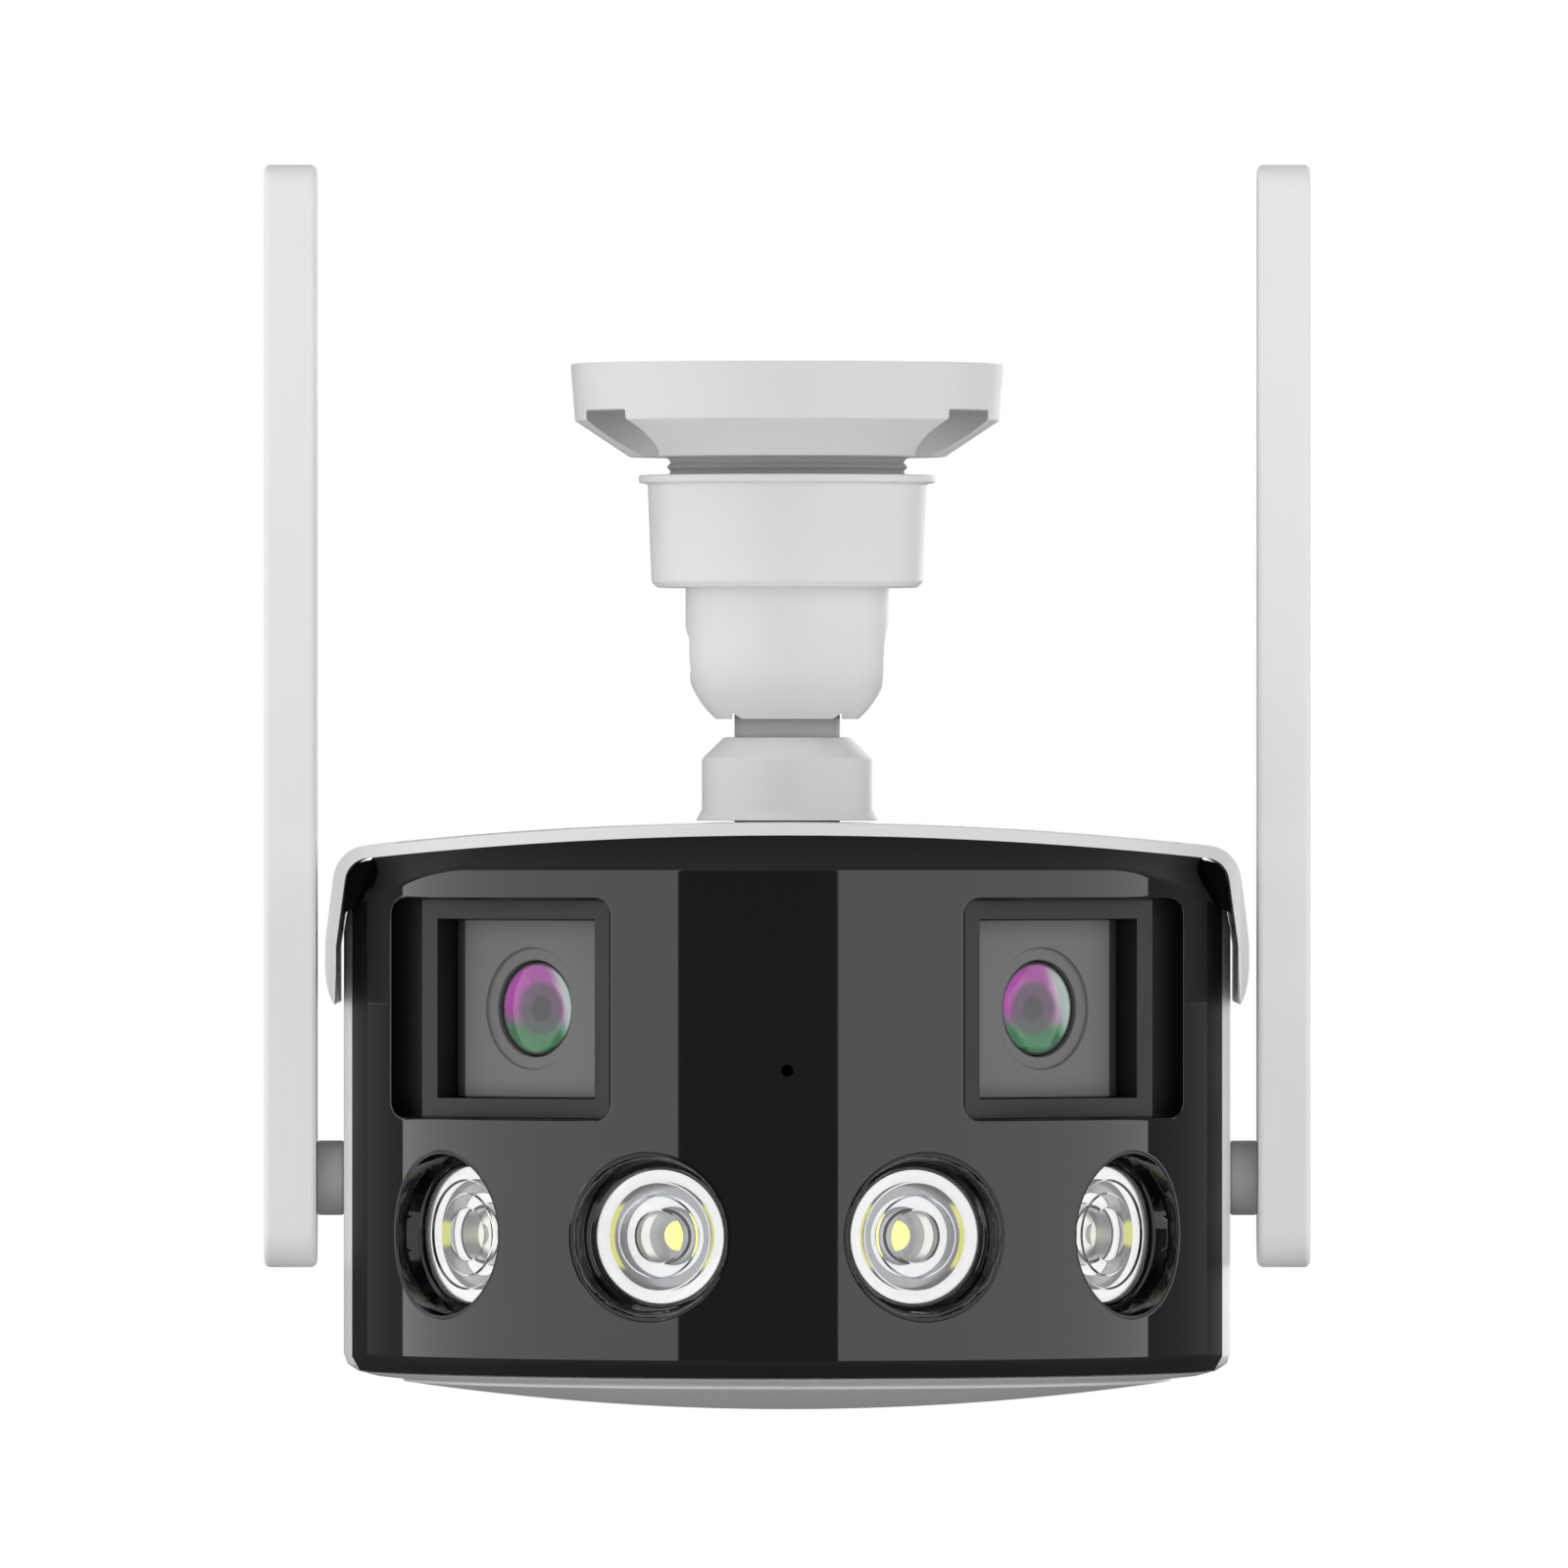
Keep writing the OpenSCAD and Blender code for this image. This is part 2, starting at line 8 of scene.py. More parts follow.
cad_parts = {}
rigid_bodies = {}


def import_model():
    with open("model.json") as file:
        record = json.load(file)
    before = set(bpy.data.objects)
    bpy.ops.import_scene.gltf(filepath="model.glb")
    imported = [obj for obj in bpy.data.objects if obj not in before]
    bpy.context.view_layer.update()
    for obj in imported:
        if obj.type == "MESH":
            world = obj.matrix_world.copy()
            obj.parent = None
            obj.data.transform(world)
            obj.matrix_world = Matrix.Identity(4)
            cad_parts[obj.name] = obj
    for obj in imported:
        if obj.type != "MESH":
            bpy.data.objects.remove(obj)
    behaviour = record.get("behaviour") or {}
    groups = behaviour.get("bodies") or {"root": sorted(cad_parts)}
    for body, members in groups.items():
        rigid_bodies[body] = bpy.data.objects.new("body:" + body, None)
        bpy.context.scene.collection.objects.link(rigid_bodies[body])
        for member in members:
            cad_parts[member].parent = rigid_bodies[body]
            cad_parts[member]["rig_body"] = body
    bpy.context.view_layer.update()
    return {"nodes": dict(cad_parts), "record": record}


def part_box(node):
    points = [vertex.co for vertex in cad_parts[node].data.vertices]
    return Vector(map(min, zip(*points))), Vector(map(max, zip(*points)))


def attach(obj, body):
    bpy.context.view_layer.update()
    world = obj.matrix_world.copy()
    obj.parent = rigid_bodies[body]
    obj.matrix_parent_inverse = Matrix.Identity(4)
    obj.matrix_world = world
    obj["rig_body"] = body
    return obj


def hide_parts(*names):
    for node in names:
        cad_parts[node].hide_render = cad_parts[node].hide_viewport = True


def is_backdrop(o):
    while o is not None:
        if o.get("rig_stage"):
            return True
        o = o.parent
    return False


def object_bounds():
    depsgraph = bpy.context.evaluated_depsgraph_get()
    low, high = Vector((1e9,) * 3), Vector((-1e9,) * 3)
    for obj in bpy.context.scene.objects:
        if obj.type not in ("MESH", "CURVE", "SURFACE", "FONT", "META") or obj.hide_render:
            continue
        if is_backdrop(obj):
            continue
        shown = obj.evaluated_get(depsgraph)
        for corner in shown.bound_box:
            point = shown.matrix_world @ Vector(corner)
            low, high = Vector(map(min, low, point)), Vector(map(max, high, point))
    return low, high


bl_info = {
    "name": "Floodlight Security Camera",
    "version": (1, 0, 0),
    "blender": (4, 5, 0),
    "location": "View3D > Sidebar > Camera",
    "description": "Builds the camera's fine pieces, finishes and studio around its CAD frame",
    "category": "Object",
}

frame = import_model()
NODES = frame["nodes"]
SLOT_OF = {row["node"]: row["material_slot"] for row in frame["record"]["subparts"]}
MM = 0.001
SIDES = ("left", "right")

CLEAR = (1, 1, 1, 1)

# The CAD front's box gives the curved front's radius and levels; its axis stands 15 mm behind the stem
FRONT_LOW, FRONT_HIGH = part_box("front_panel")
BODY_AXIS_Y = 15 * MM
SKIN_R = BODY_AXIS_Y - FRONT_LOW.y

# Each lens and lamp looks outwards from that axis, at this turn and height
LENS_TURN = math.radians(40)
LENS_Z = sum(corner.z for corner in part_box("lens_glass_right")) / 2
LAMP_Z = sum(corner.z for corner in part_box("led_lens_1")) / 2
MIC_Z = -111.3 * MM
LAMP_TURNS = [math.radians(turn) for turn in (-50.7, -18.1, 18.1, 50.7)]

# The black front: strips round its half turn, wall, flange behind its top edge, and the top chamfer
FACETS = 128
WALL = 2.4 * MM
FLANGE = 8 * MM
FLANGE_DROP = 3.7 * MM
CHAMFER = 4.3 * MM
CHAMFER_DROP = 4.9 * MM
CHAMFER_SLOPE = 0.88
BOTTOM_CHAMFER = 1.2 * MM
BOTTOM_CHAMFER_RISE = 2.2 * MM

# Towards the corners the chamfer's lower line falls away, from this far out, in millimetres
FALL_FROM = 51
FALL_RATE = 0.0644
FALL_POWER = 1.6

# The top follows the sunshield's arch, just clear of its 2 mm wall
SHIELD_ARCH_R = 600 * MM
SHIELD_WALL = 2.02 * MM
ARCH_R = 597.7 * MM

# How far out from the axis the lens elements sit, and the plate's bevelled outer edge
LENS_REACH = 60.5 * MM
LENS_R = 7.1 * MM
PLATE_BEVEL_FROM = 13.85 * MM

# Lens windows, lamp bores and the microphone's blind hole in the black front, the hole painted near black as
# shade
WINDOW_X = 45.05 * MM
WINDOW_WIDE = 34.7 * MM
WINDOW_TALL = 34.4 * MM
LAMP_BORE_R = 13.35 * MM
MIC_R = 0.95 * MM
MIC_SHIFT = 8.2 * MM
BORE_DEPTH = 20 * MM
BORDER_X = 66.6 * MM

# The mount base: threaded boss under it, and three screw pockets in a ring, whose faces get painted shade
RECESS_TOP = -7.3 * MM
BOSS_R = 19.4 * MM
BOSS_TOP = -14.75 * MM
POCKET_RING_R = 31 * MM
POCKET_R = 6.6 * MM
POCKET_TURNS = [math.radians(turn) for turn in (-30, -150, 90)]

# The studio, in metres
FLOOR_R = 2.5
FLOOR_LEVEL = -1.2
CARD_AWAY = 1.3
CARD_TALL = 2.0


# ---- colours and settings ----

def linear(colour):
    """An sRGB hex colour as linear red, green, blue and alpha."""
    parts = [int(colour[i:i + 2], 16) / 255 for i in (1, 3, 5)]
    return [p / 12.92 if p <= 0.04045 else ((p + 0.055) / 1.055) ** 2.4 for p in parts] + [1.0]


def length(name, text, default_mm):
    """A length setting in millimetres."""
    return bpy.props.FloatProperty(name=name, description=text, default=default_mm * MM, unit="LENGTH")


def amount(name, text, default):
    """A plain number setting that isn't negative."""
    return bpy.props.FloatProperty(name=name, description=text, default=default, min=0, subtype="FACTOR")


def tint(name, text, colour):
    """A colour setting, shown as the hex colour it is worked out from."""
    return bpy.props.FloatVectorProperty(
        name=name, description=text, default=linear(colour), size=4, min=0, max=1, subtype="COLOR")


class ShellSettings(bpy.types.PropertyGroup):
    edge: length("Edge radius", "Moulded radius on the edges of the white shells", 0.5)
    blade_edge: length("Antenna edge", "Radius on the long edges of the antennas", 0.9)
    white: tint("Housing white", "Colour of the housing, sunshield and bracket", "#e8e8e8")
    blade_white: tint("Antenna white", "Colour of the antenna blades", "#fafafa")


class FrontSettings(bpy.types.PropertyGroup):
    edge: length("Front edge", "Polished radius round the windows of the black front", 0.55)
    corner: length("Window corner", "Corner radius of the lens windows", 2.4)
    black: tint("Front black", "Colour of the black front", "#0b0b0b")
    frame_grey: tint("Frame grey", "Colour of the window frames", "#303030")
    plate_grey: tint("Plate grey", "Colour of the plates round the lenses", "#787878")


# Colours of the painted reflections on the lens coating
class LensSettings(bpy.types.PropertyGroup):
    coat_violet: tint("Violet coating", "Reflection of the coating towards the top", "#bd3fb4")
    coat_green: tint("Green coating", "Reflection of the coating towards the bottom", "#27834f")
    coat_pale: tint("Pale coating", "Reflection of the coating at the outer side", "#c9dcd2")


class LampSettings(bpy.types.PropertyGroup):
    phosphor: tint("Phosphor", "Colour of the lamp chips' phosphor", "#f6f48e")
    # The phosphor's glow is painted light, standing in for light the clear lens keeps from it
    painted_glow: amount("Phosphor glow", "Light given by the phosphor", 0.9)


class StageSettings(bpy.types.PropertyGroup):
    distance: length("Camera distance", "From the camera to the object", 4000)
    view_height: length("View height", "Height of the picture at the object", 248)
    card_light: amount("Card light", "Radiance of the side cards", 1.0)
    room_light: amount("Room light", "Radiance of the soft room", 0.3)
    room_mirror: amount("Room mirrored", "Radiance of the room where it is mirrored", 0.12)


# ---- modelling steps ----

def pick(*pieces):
    """Selects only these pieces, in object mode, the last one active."""
    if bpy.context.mode != "OBJECT":
        bpy.ops.object.mode_set(mode="OBJECT")
    bpy.ops.object.select_all(action="DESELECT")
    for piece in pieces:
        piece.select_set(True)
        bpy.context.view_layer.objects.active = piece


def edit(piece, select="SELECT"):
    """Opens the piece in edit mode with everything, or nothing, selected."""
    pick(piece)
    bpy.ops.object.mode_set(mode="EDIT")
    bpy.ops.mesh.select_mode(type="VERT")
    bpy.ops.mesh.select_all(action=select)


def done(name):
    """Leaves edit mode, names the piece and returns it."""
    bpy.ops.object.mode_set(mode="OBJECT")
    piece = bpy.context.active_object
    piece.name = name
    piece.data.name = name
    return piece


def settle(piece):
    """Puts the piece's place and turn into its mesh."""
    pick(piece)
    bpy.ops.object.transform_apply(location=True, rotation=True, scale=True)
    return piece


def trace(points):
    """Draws a closed outline through points by extruding one corner, and leaves it in edit mode."""
    bpy.ops.object.select_all(action="DESELECT")
    bpy.ops.mesh.primitive_plane_add(size=MM, location=(0, 0, 0))
    bpy.ops.object.mode_set(mode="EDIT")
    bpy.ops.mesh.select_mode(type="VERT")
    bpy.ops.mesh.select_all(action="SELECT")
    bpy.ops.mesh.merge(type="CENTER")
    bpy.ops.transform.translate(value=points[0])
    route = points + [points[0]]
    for here, there in zip(route, route[1:]):
        step = [b - a for a, b in zip(here, there)]
        bpy.ops.mesh.extrude_vertices_move(TRANSFORM_OT_translate={"value": step})
    bpy.ops.mesh.select_all(action="SELECT")
    bpy.ops.mesh.remove_doubles(threshold=1e-6)


def lathe(name, outline, steps=72, turn=2 * math.pi, centre=(0, 0, 0)):
    """Spins an outline of (radius, height) about the vertical line through centre."""
    trace([(centre[0] + r, centre[1], z) for r, z in outline])
    bpy.ops.mesh.spin(steps=steps, angle=turn, center=centre, axis=(0, 0, 1))
    bpy.ops.mesh.select_all(action="SELECT")
    bpy.ops.mesh.remove_doubles(threshold=2e-6)
    bpy.ops.mesh.normals_make_consistent(inside=False)
    return done(name)


def slab(name, outline, y0, y1):
    """Extrudes a closed outline of (x, z) from y0 to y1."""
    trace([(x, y0, z) for x, z in outline])
    bpy.ops.mesh.edge_face_add()
    bpy.ops.mesh.extrude_region_move(TRANSFORM_OT_translate={"value": (0, y1 - y0, 0)})
    bpy.ops.mesh.select_all(action="SELECT")
    bpy.ops.mesh.normals_make_consistent(inside=False)
    return done(name)


def outwards(piece, turn, out, z):
    """Turns a piece made about +Z to point outwards from the body's axis, and sets it in place."""
    piece.matrix_world = (
        Matrix.Translation((0, BODY_AXIS_Y, 0)) @ Matrix.Rotation(turn, 4, "Z")
        @ Matrix.Translation((0, -out, z)) @ Matrix.Rotation(math.pi / 2, 4, "X"))
    return settle(piece)


def cut(piece, cutter):
    """Cuts the cutter out of the piece, and removes it."""
    pick(piece)
    step = piece.modifiers.new("cut", "BOOLEAN")
    step.operation = "DIFFERENCE"
    step.solver = "EXACT"
    step.object = cutter
    bpy.ops.object.modifier_apply(modifier=step.name)
    bpy.data.objects.remove(cutter)
    if not piece.data.polygons:
        raise RuntimeError("nothing is left of %s after the cut" % piece.name)


def weigh(piece, angle, where):
    """Marks the edges sharper than the angle whose ends pass the test, for the bevel that follows."""
    mesh = piece.data
    sides = {}
    for face in mesh.polygons:
        for pair in face.edge_keys:
            sides.setdefault(pair, []).append(face.normal)
    weight = mesh.attributes.new("bevel_weight_edge", "FLOAT", "EDGE")
    for line in mesh.edges:
        a, b = sides[tuple(sorted(line.vertices))]
        inside = all(where(mesh.vertices[i].co) for i in line.vertices)
        weight.data[line.index].value = float(inside and a.angle(b) > math.radians(angle))


def soften(piece, radius, segments=3, angle=30, where=None):
    """Rounds every edge sharper than the angle, or those that pass a test, and shades the piece smooth."""
    if where:
        weigh(piece, angle, where)
    pick(piece)
    step = piece.modifiers.new("edge radius", "BEVEL")
    step.width = radius
    step.segments = segments
    step.limit_method = "WEIGHT" if where else "ANGLE"
    step.angle_limit = math.radians(angle)
    step.miter_outer = "MITER_ARC"
    step.use_clamp_overlap = where is None
    bpy.ops.object.modifier_apply(modifier=step.name)
    bpy.ops.object.shade_smooth_by_angle(angle=math.radians(angle))
    step = piece.modifiers.new("flat faces", "WEIGHTED_NORMAL")
    step.keep_sharp = True
    bpy.ops.object.modifier_apply(modifier=step.name)
    return piece


def softened(node, radius, finish, segments=3, angle=30, where=None):
    """A copy of a CAD piece with its moulded edge radius, standing for that node."""
    pick(NODES[node])
    bpy.ops.object.duplicate()
    piece = bpy.context.active_object
    for key in list(piece.keys()):
        del piece[key]
    edit(piece)
    bpy.ops.mesh.remove_doubles(threshold=2e-6)
    bpy.ops.mesh.dissolve_limited(angle_limit=math.radians(0.3))
    piece = done(node + "_moulded")
    soften(piece, radius, segments, angle, where)
    return stands_for(piece, finish, node)


def true_skin(piece):
    """Gives the curved skin its exact outward normals, so reflections run straight across its facets."""
    mesh = piece.data
    normals = []
    for loop in mesh.loops:
        spot = mesh.vertices[loop.vertex_index].co
        away = Vector((spot.x, spot.y - BODY_AXIS_Y, 0))
        on_skin = abs(away.length - SKIN_R) < 0.02 * MM
        normals.append(away.normalized() if on_skin else Vector((0, 0, 0)))
    mesh.normals_split_custom_set(normals)


def repaint(piece, finish, test):
    """Gives the faces whose centre passes the test another finish."""
    piece.data.materials.append(finish)
    for face in piece.data.polygons:
        if test(face.center):
            face.material_index = len(piece.data.materials) - 1


def in_lens_frame(spot, side):
    """A point as (outwards along the window, outwards from the body's axis, height from the lens)."""
    sign = 1 if side == "right" else -1
    x, y = spot.x * sign, spot.y - BODY_AXIS_Y
    along = x * math.cos(LENS_TURN) + y * math.sin(LENS_TURN)
    out = x * math.sin(LENS_TURN) - y * math.cos(LENS_TURN)
    return along, out, spot.z - LENS_Z


def dress(piece, *finishes):
    """Gives the piece its finishes, in slot order."""
    piece.data.materials.clear()
    for finish in finishes:
        piece.data.materials.append(finish)
    return piece


def stands_for(piece, finish, *nodes):
    """The piece rides on the nodes' body, takes their slot and hides them."""
    dress(piece, finish)
    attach(piece, NODES[nodes[0]]["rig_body"])
    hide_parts(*nodes)
    return piece


# ---- finishes ----

# Settings for nodes that mix two colours (sockets 6 and 7 by factor 0, result in output 2)
# and for ranges with soft ends
COLOURS = {"data_type": "RGBA"}
MULTIPLIED = {"data_type": "RGBA", "blend_type": "MULTIPLY"}
SOFT_ENDS = {"interpolation_type": "SMOOTHSTEP"}


def put(tree, kind, settings=None, inputs=None):
    """Adds a node with its settings, socket values and links."""
    node = tree.nodes.new(kind)
    for name, value in (settings or {}).items():
        setattr(node, name, value)
    for name, value in (inputs or {}).items():
        if isinstance(value, bpy.types.NodeSocket):
            tree.links.new(value, node.inputs[name])
        else:
            node.inputs[name].default_value = value
    return node


def finish(name, colour, roughness, **sockets):
    """A new material with its shader's colour, roughness and other fixed values."""
    material = bpy.data.materials.new(name)
    material.use_nodes = True
    shader = material.node_tree.nodes["Principled BSDF"]
    shader.inputs["Base Color"].default_value = colour
    shader.inputs["Roughness"].default_value = roughness
    for socket, value in sockets.items():
        shader.inputs[socket.replace("_", " ")].default_value = value
    return material, material.node_tree, shader


def grain(tree, shader, size_mm, height_mm, rough, spread):
    """Mould grain: fine bumps, and roughness that wanders by spread over some centimetres."""
    place = put(tree, "ShaderNodeTexCoord").outputs["Object"]
    bumps = put(tree, "ShaderNodeTexNoise", None, {"Vector": place, "Scale": 1000 / size_mm, "Detail": 3.0})
    bump = put(tree, "ShaderNodeBump", None,
               {"Height": bumps.outputs["Fac"], "Distance": height_mm * MM, "Strength": 1.0})
    tree.links.new(bump.outputs["Normal"], shader.inputs["Normal"])
    patches = put(tree, "ShaderNodeTexNoise", None, {"Vector": place, "Scale": 1000 / 25, "Detail": 4.0})
    spread_node = put(tree, "ShaderNodeMapRange", None, {
        "Value": patches.outputs["Fac"], "From Min": 0.3, "From Max": 0.7,
        "To Min": rough - spread, "To Max": rough + spread})
    tree.links.new(spread_node.outputs["Result"], shader.inputs["Roughness"])
    return patches


def mottle(tree, shader, patches, colour, darker):
    """Lets the colour wander between itself and a slightly darker one."""
    dark = [c * darker for c in colour[:3]] + [1]
    mix = put(tree, "ShaderNodeMix", COLOURS, {0: patches.outputs["Fac"], 6: dark, 7: list(colour)})
    tree.links.new(mix.outputs[2], shader.inputs["Base Color"])


def moulded_abs(name, colour, rough=0.36):
    """Injection-moulded ABS: a soft satin sheen over a very fine spark-eroded grain.

    The real grain of about 0.1 mm is too fine to show, so it is drawn at 0.35 mm.
    """
    material, tree, shader = finish(name, colour, rough, IOR=1.52, Subsurface_Weight=0.03)
    shader.inputs["Subsurface Radius"].default_value = (0.002, 0.002, 0.002)
    shader.inputs["Subsurface Scale"].default_value = 0.5
    patches = grain(tree, shader, 0.35, 0.006, rough, 0.025)
    mottle(tree, shader, patches, colour, 0.98)
    return material


def polished_acrylic(colour):
    """Polished black acrylic: deep black with a sharp reflection and a trace of mould ripple."""
    material, tree, shader = finish("black acrylic, polished", colour, 0.035, IOR=1.5)
    shader.inputs["Coat Weight"].default_value = 0.85
    shader.inputs["Coat Roughness"].default_value = 0.02
    place = put(tree, "ShaderNodeTexCoord").outputs["Object"]
    ripple = put(tree, "ShaderNodeTexNoise", None, {"Vector": place, "Scale": 1000 / 9, "Detail": 1.0})
    bump = put(tree, "ShaderNodeBump", None,
               {"Height": ripple.outputs["Fac"], "Distance": 0.0015 * MM, "Strength": 1.0})
    tree.links.new(bump.outputs["Normal"], shader.inputs["Normal"])
    dust = put(tree, "ShaderNodeTexNoise", None, {"Vector": place, "Scale": 1000 / 14, "Detail": 5.0})
    haze = put(tree, "ShaderNodeMapRange", None, {
        "Value": dust.outputs["Fac"], "From Min": 0.35, "From Max": 0.75, "To Min": 0.025, "To Max": 0.07})
    tree.links.new(haze.outputs["Result"], shader.inputs["Roughness"])
    return material


def masked_border():
    """Black acrylic masked matt along its glued edge: dark, with almost no reflection."""
    name = "black acrylic, matt border"
    material, tree, shader = finish(name, linear("#202020"), 0.5, Specular_IOR_Level=0.08)
    grain(tree, shader, 0.4, 0.004, 0.5, 0.05)
    return material


def grained_plastic(name, colour, rough, grain_mm=0.4, height_mm=0.012, **sockets):
    """Matt moulded plastic with an even spark-eroded grain that breaks up its sheen.

    The real grain of about 0.1 mm is too fine to show, so it is drawn at 0.3 to 0.4 mm.
    """
    material, tree, shader = finish(name, colour, rough, **sockets)
    patches = grain(tree, shader, grain_mm, height_mm, rough, 0.06)
    mottle(tree, shader, patches, colour, 0.9)
    return material


def cup_plastic():
    """Gloss black moulded styrene: sharp curved reflections of the studio in its wall."""
    material, tree, shader = finish("black styrene, gloss moulded", linear("#0a0a0a"), 0.09, IOR=1.55)
    grain(tree, shader, 0.5, 0.002, 0.09, 0.03)
    return material


def rubber():
    """Moulded silicone rubber: dull, dark and slightly dusty, its fine grain drawn at 0.3 mm."""
    material, tree, shader = finish("silicone rubber, moulded", linear("#2b2b2b"), 0.75)
    patches = grain(tree, shader, 0.3, 0.02, 0.75, 0.1)
    mottle(tree, shader, patches, linear("#2b2b2b"), 0.75)
    return material


def zinc_steel():
    """Zinc-plated steel: bright grey metal with a fine pitted grain and a cloudy sheen."""
    material, tree, shader = finish("steel, zinc plated", linear("#b9bcc0"), 0.3, Metallic=1.0)
    patches = grain(tree, shader, 0.2, 0.004, 0.3, 0.1)
    mottle(tree, shader, patches, linear("#b9bcc0"), 0.8)
    return material


def extruded_aluminium():
    """Extruded aluminium: pale satin metal with fine draw lines along Z, drawn 0.3 mm apart."""
    material, tree, shader = finish("aluminium, extruded", linear("#c4c6c8"), 0.35, Metallic=1.0)
    place = put(tree, "ShaderNodeTexCoord").outputs["Object"]
    drawn = put(tree, "ShaderNodeMapping", None, {"Vector": place, "Scale": (1, 1, 0.02)})
    lines = put(tree, "ShaderNodeTexNoise", None,
                {"Vector": drawn.outputs["Vector"], "Scale": 1000 / 0.3, "Detail": 2.0})
    bump = put(tree, "ShaderNodeBump", None,
               {"Height": lines.outputs["Fac"], "Distance": 0.006 * MM, "Strength": 1.0})
    tree.links.new(bump.outputs["Normal"], shader.inputs["Normal"])
    return material


def solder_mask(name, colour):
    """Solder mask over a circuit board: a thin gloss coat with copper tracks faintly raised under it."""
    material, tree, shader = finish(name, colour, 0.3, Coat_Weight=0.4)
    place = put(tree, "ShaderNodeTexCoord").outputs["Object"]
    tracks = put(tree, "ShaderNodeTexBrick", None, {
        "Vector": place, "Scale": 1000 / 8, "Color1": (1, 1, 1, 1), "Color2": (0.9, 0.9, 0.9, 1),
        "Mortar": (0.5, 0.5, 0.5, 1), "Mortar Size": 0.04})
    shaded = put(tree, "ShaderNodeMix", MULTIPLIED, {0: 1.0, 6: colour, 7: tracks.outputs["Color"]})
    tree.links.new(shaded.outputs[2], shader.inputs["Base Color"])
    return material


def optical_glass():
    """Ground and polished optical glass: clear, its reflection dimmed by an anti-reflective coat."""
    return finish("optical glass, coated", CLEAR, 0.0, IOR=1.52, Transmission_Weight=1.0,
                  Specular_IOR_Level=0.15)[0]


def painted_lens_bowl(settings, side):
    """Coated lens surfaces with painted reflections: violet above, green below, a pale highlight at one side,
    grey in the deep middle with a dark pupil, all glowing.
    """
    material, tree, shader = finish("coated elements, painted reflections, " + side, (0, 0, 0, 1), 0.15)
    shader.inputs["Specular IOR Level"].default_value = 0.12
    place = put(tree, "ShaderNodeTexCoord").outputs["Object"]
    turn = LENS_TURN if side == "right" else -LENS_TURN
    centre = Vector((LENS_REACH * math.sin(turn), BODY_AXIS_Y - LENS_REACH * math.cos(turn), LENS_Z))
    local = put(tree, "ShaderNodeMapping", {"vector_type": "TEXTURE"}, {
        "Vector": place, "Location": centre, "Rotation": (0, 0, turn), "Scale": (LENS_R,) * 3})
    parts = put(tree, "ShaderNodeSeparateXYZ", None, {"Vector": local.outputs["Vector"]})
    flat = put(tree, "ShaderNodeCombineXYZ", None, {"X": parts.outputs["X"], "Y": parts.outputs["Z"]})
    reach = put(tree, "ShaderNodeVectorMath", {"operation": "LENGTH"}, {0: flat.outputs["Vector"]})
    # Painted coating reflections: violet above and green below
    height = put(tree, "ShaderNodeMapRange", SOFT_ENDS, {
        "Value": parts.outputs["Z"], "From Min": -0.5, "From Max": 0.0})
    coat_reflections = put(tree, "ShaderNodeMix", COLOURS, {
        0: height.outputs["Result"], 6: settings.coat_green, 7: settings.coat_violet})
    # Lighter and darker facets, as the reflections of several surfaces lie over each other
    fan = put(tree, "ShaderNodeTexGradient", {"gradient_type": "RADIAL"}, {"Vector": flat.outputs["Vector"]})
    facets = put(tree, "ShaderNodeValToRGB", None, {"Fac": fan.outputs["Fac"]})
    facets.color_ramp.interpolation = "CONSTANT"
    facets.color_ramp.elements[0].color = (0.85, 0.85, 0.85, 1)
    facets.color_ramp.elements[1].position = 0.82
    facets.color_ramp.elements[1].color = (1, 1, 1, 1)
    steps = ((0.14, 1.0), (0.33, 0.8), (0.38, 1.25), (0.47, 0.95), (0.55, 1.3), (0.63, 0.85))
    for position, level in steps:
        facets.color_ramp.elements.new(position).color = (level, level, level, 1)
    faceted = put(tree, "ShaderNodeMix", MULTIPLIED, {0: 1.0, 6: coat_reflections.outputs[2], 7: facets.outputs["Color"]})
    # A painted pale highlight, a crescent at one side
    across = put(tree, "ShaderNodeMath", {"operation": "MULTIPLY_ADD"}, {
        0: parts.outputs["Z"], 1: 0.3, 2: parts.outputs["X"]})
    pale = put(tree, "ShaderNodeMapRange", SOFT_ENDS, {
        "Value": across.outputs["Value"], "From Min": 0.42, "From Max": 0.84})
    rim = put(tree, "ShaderNodeMix", COLOURS, {
        0: pale.outputs["Result"], 6: faceted.outputs[2], 7: settings.coat_pale})
    # The grey disc of the deeper elements, and the dark pupil in it, painted as the shade inside the lens
    disc = put(tree, "ShaderNodeMapRange", SOFT_ENDS, {
        "Value": reach.outputs["Value"], "From Min": 0.66, "From Max": 0.46})
    middle = put(tree, "ShaderNodeMix", COLOURS, {
        0: height.outputs["Result"], 6: linear("#3d5045"), 7: linear("#4b3b51")})
    part_disc = put(tree, "ShaderNodeMath", {"operation": "MULTIPLY"}, {0: disc.outputs["Result"], 1: 0.92})
    body = put(tree, "ShaderNodeMix", COLOURS, {
        0: part_disc.outputs["Value"], 6: rim.outputs[2], 7: middle.outputs[2]})
    pupil = put(tree, "ShaderNodeMapRange", SOFT_ENDS, {
        "Value": reach.outputs["Value"], "From Min": 0.30, "From Max": 0.2})
    deep = put(tree, "ShaderNodeMix", COLOURS, {
        0: pupil.outputs["Result"], 6: body.outputs[2], 7: linear("#2a2430")})
    # The blackened edge
    edge = put(tree, "ShaderNodeMapRange", SOFT_ENDS, {
        "Value": reach.outputs["Value"], "From Min": 0.9, "From Max": 1.0, "To Max": 0.7})
    shade = put(tree, "ShaderNodeMix", COLOURS, {
        0: edge.outputs["Result"], 6: deep.outputs[2], 7: linear("#2c2a30")})
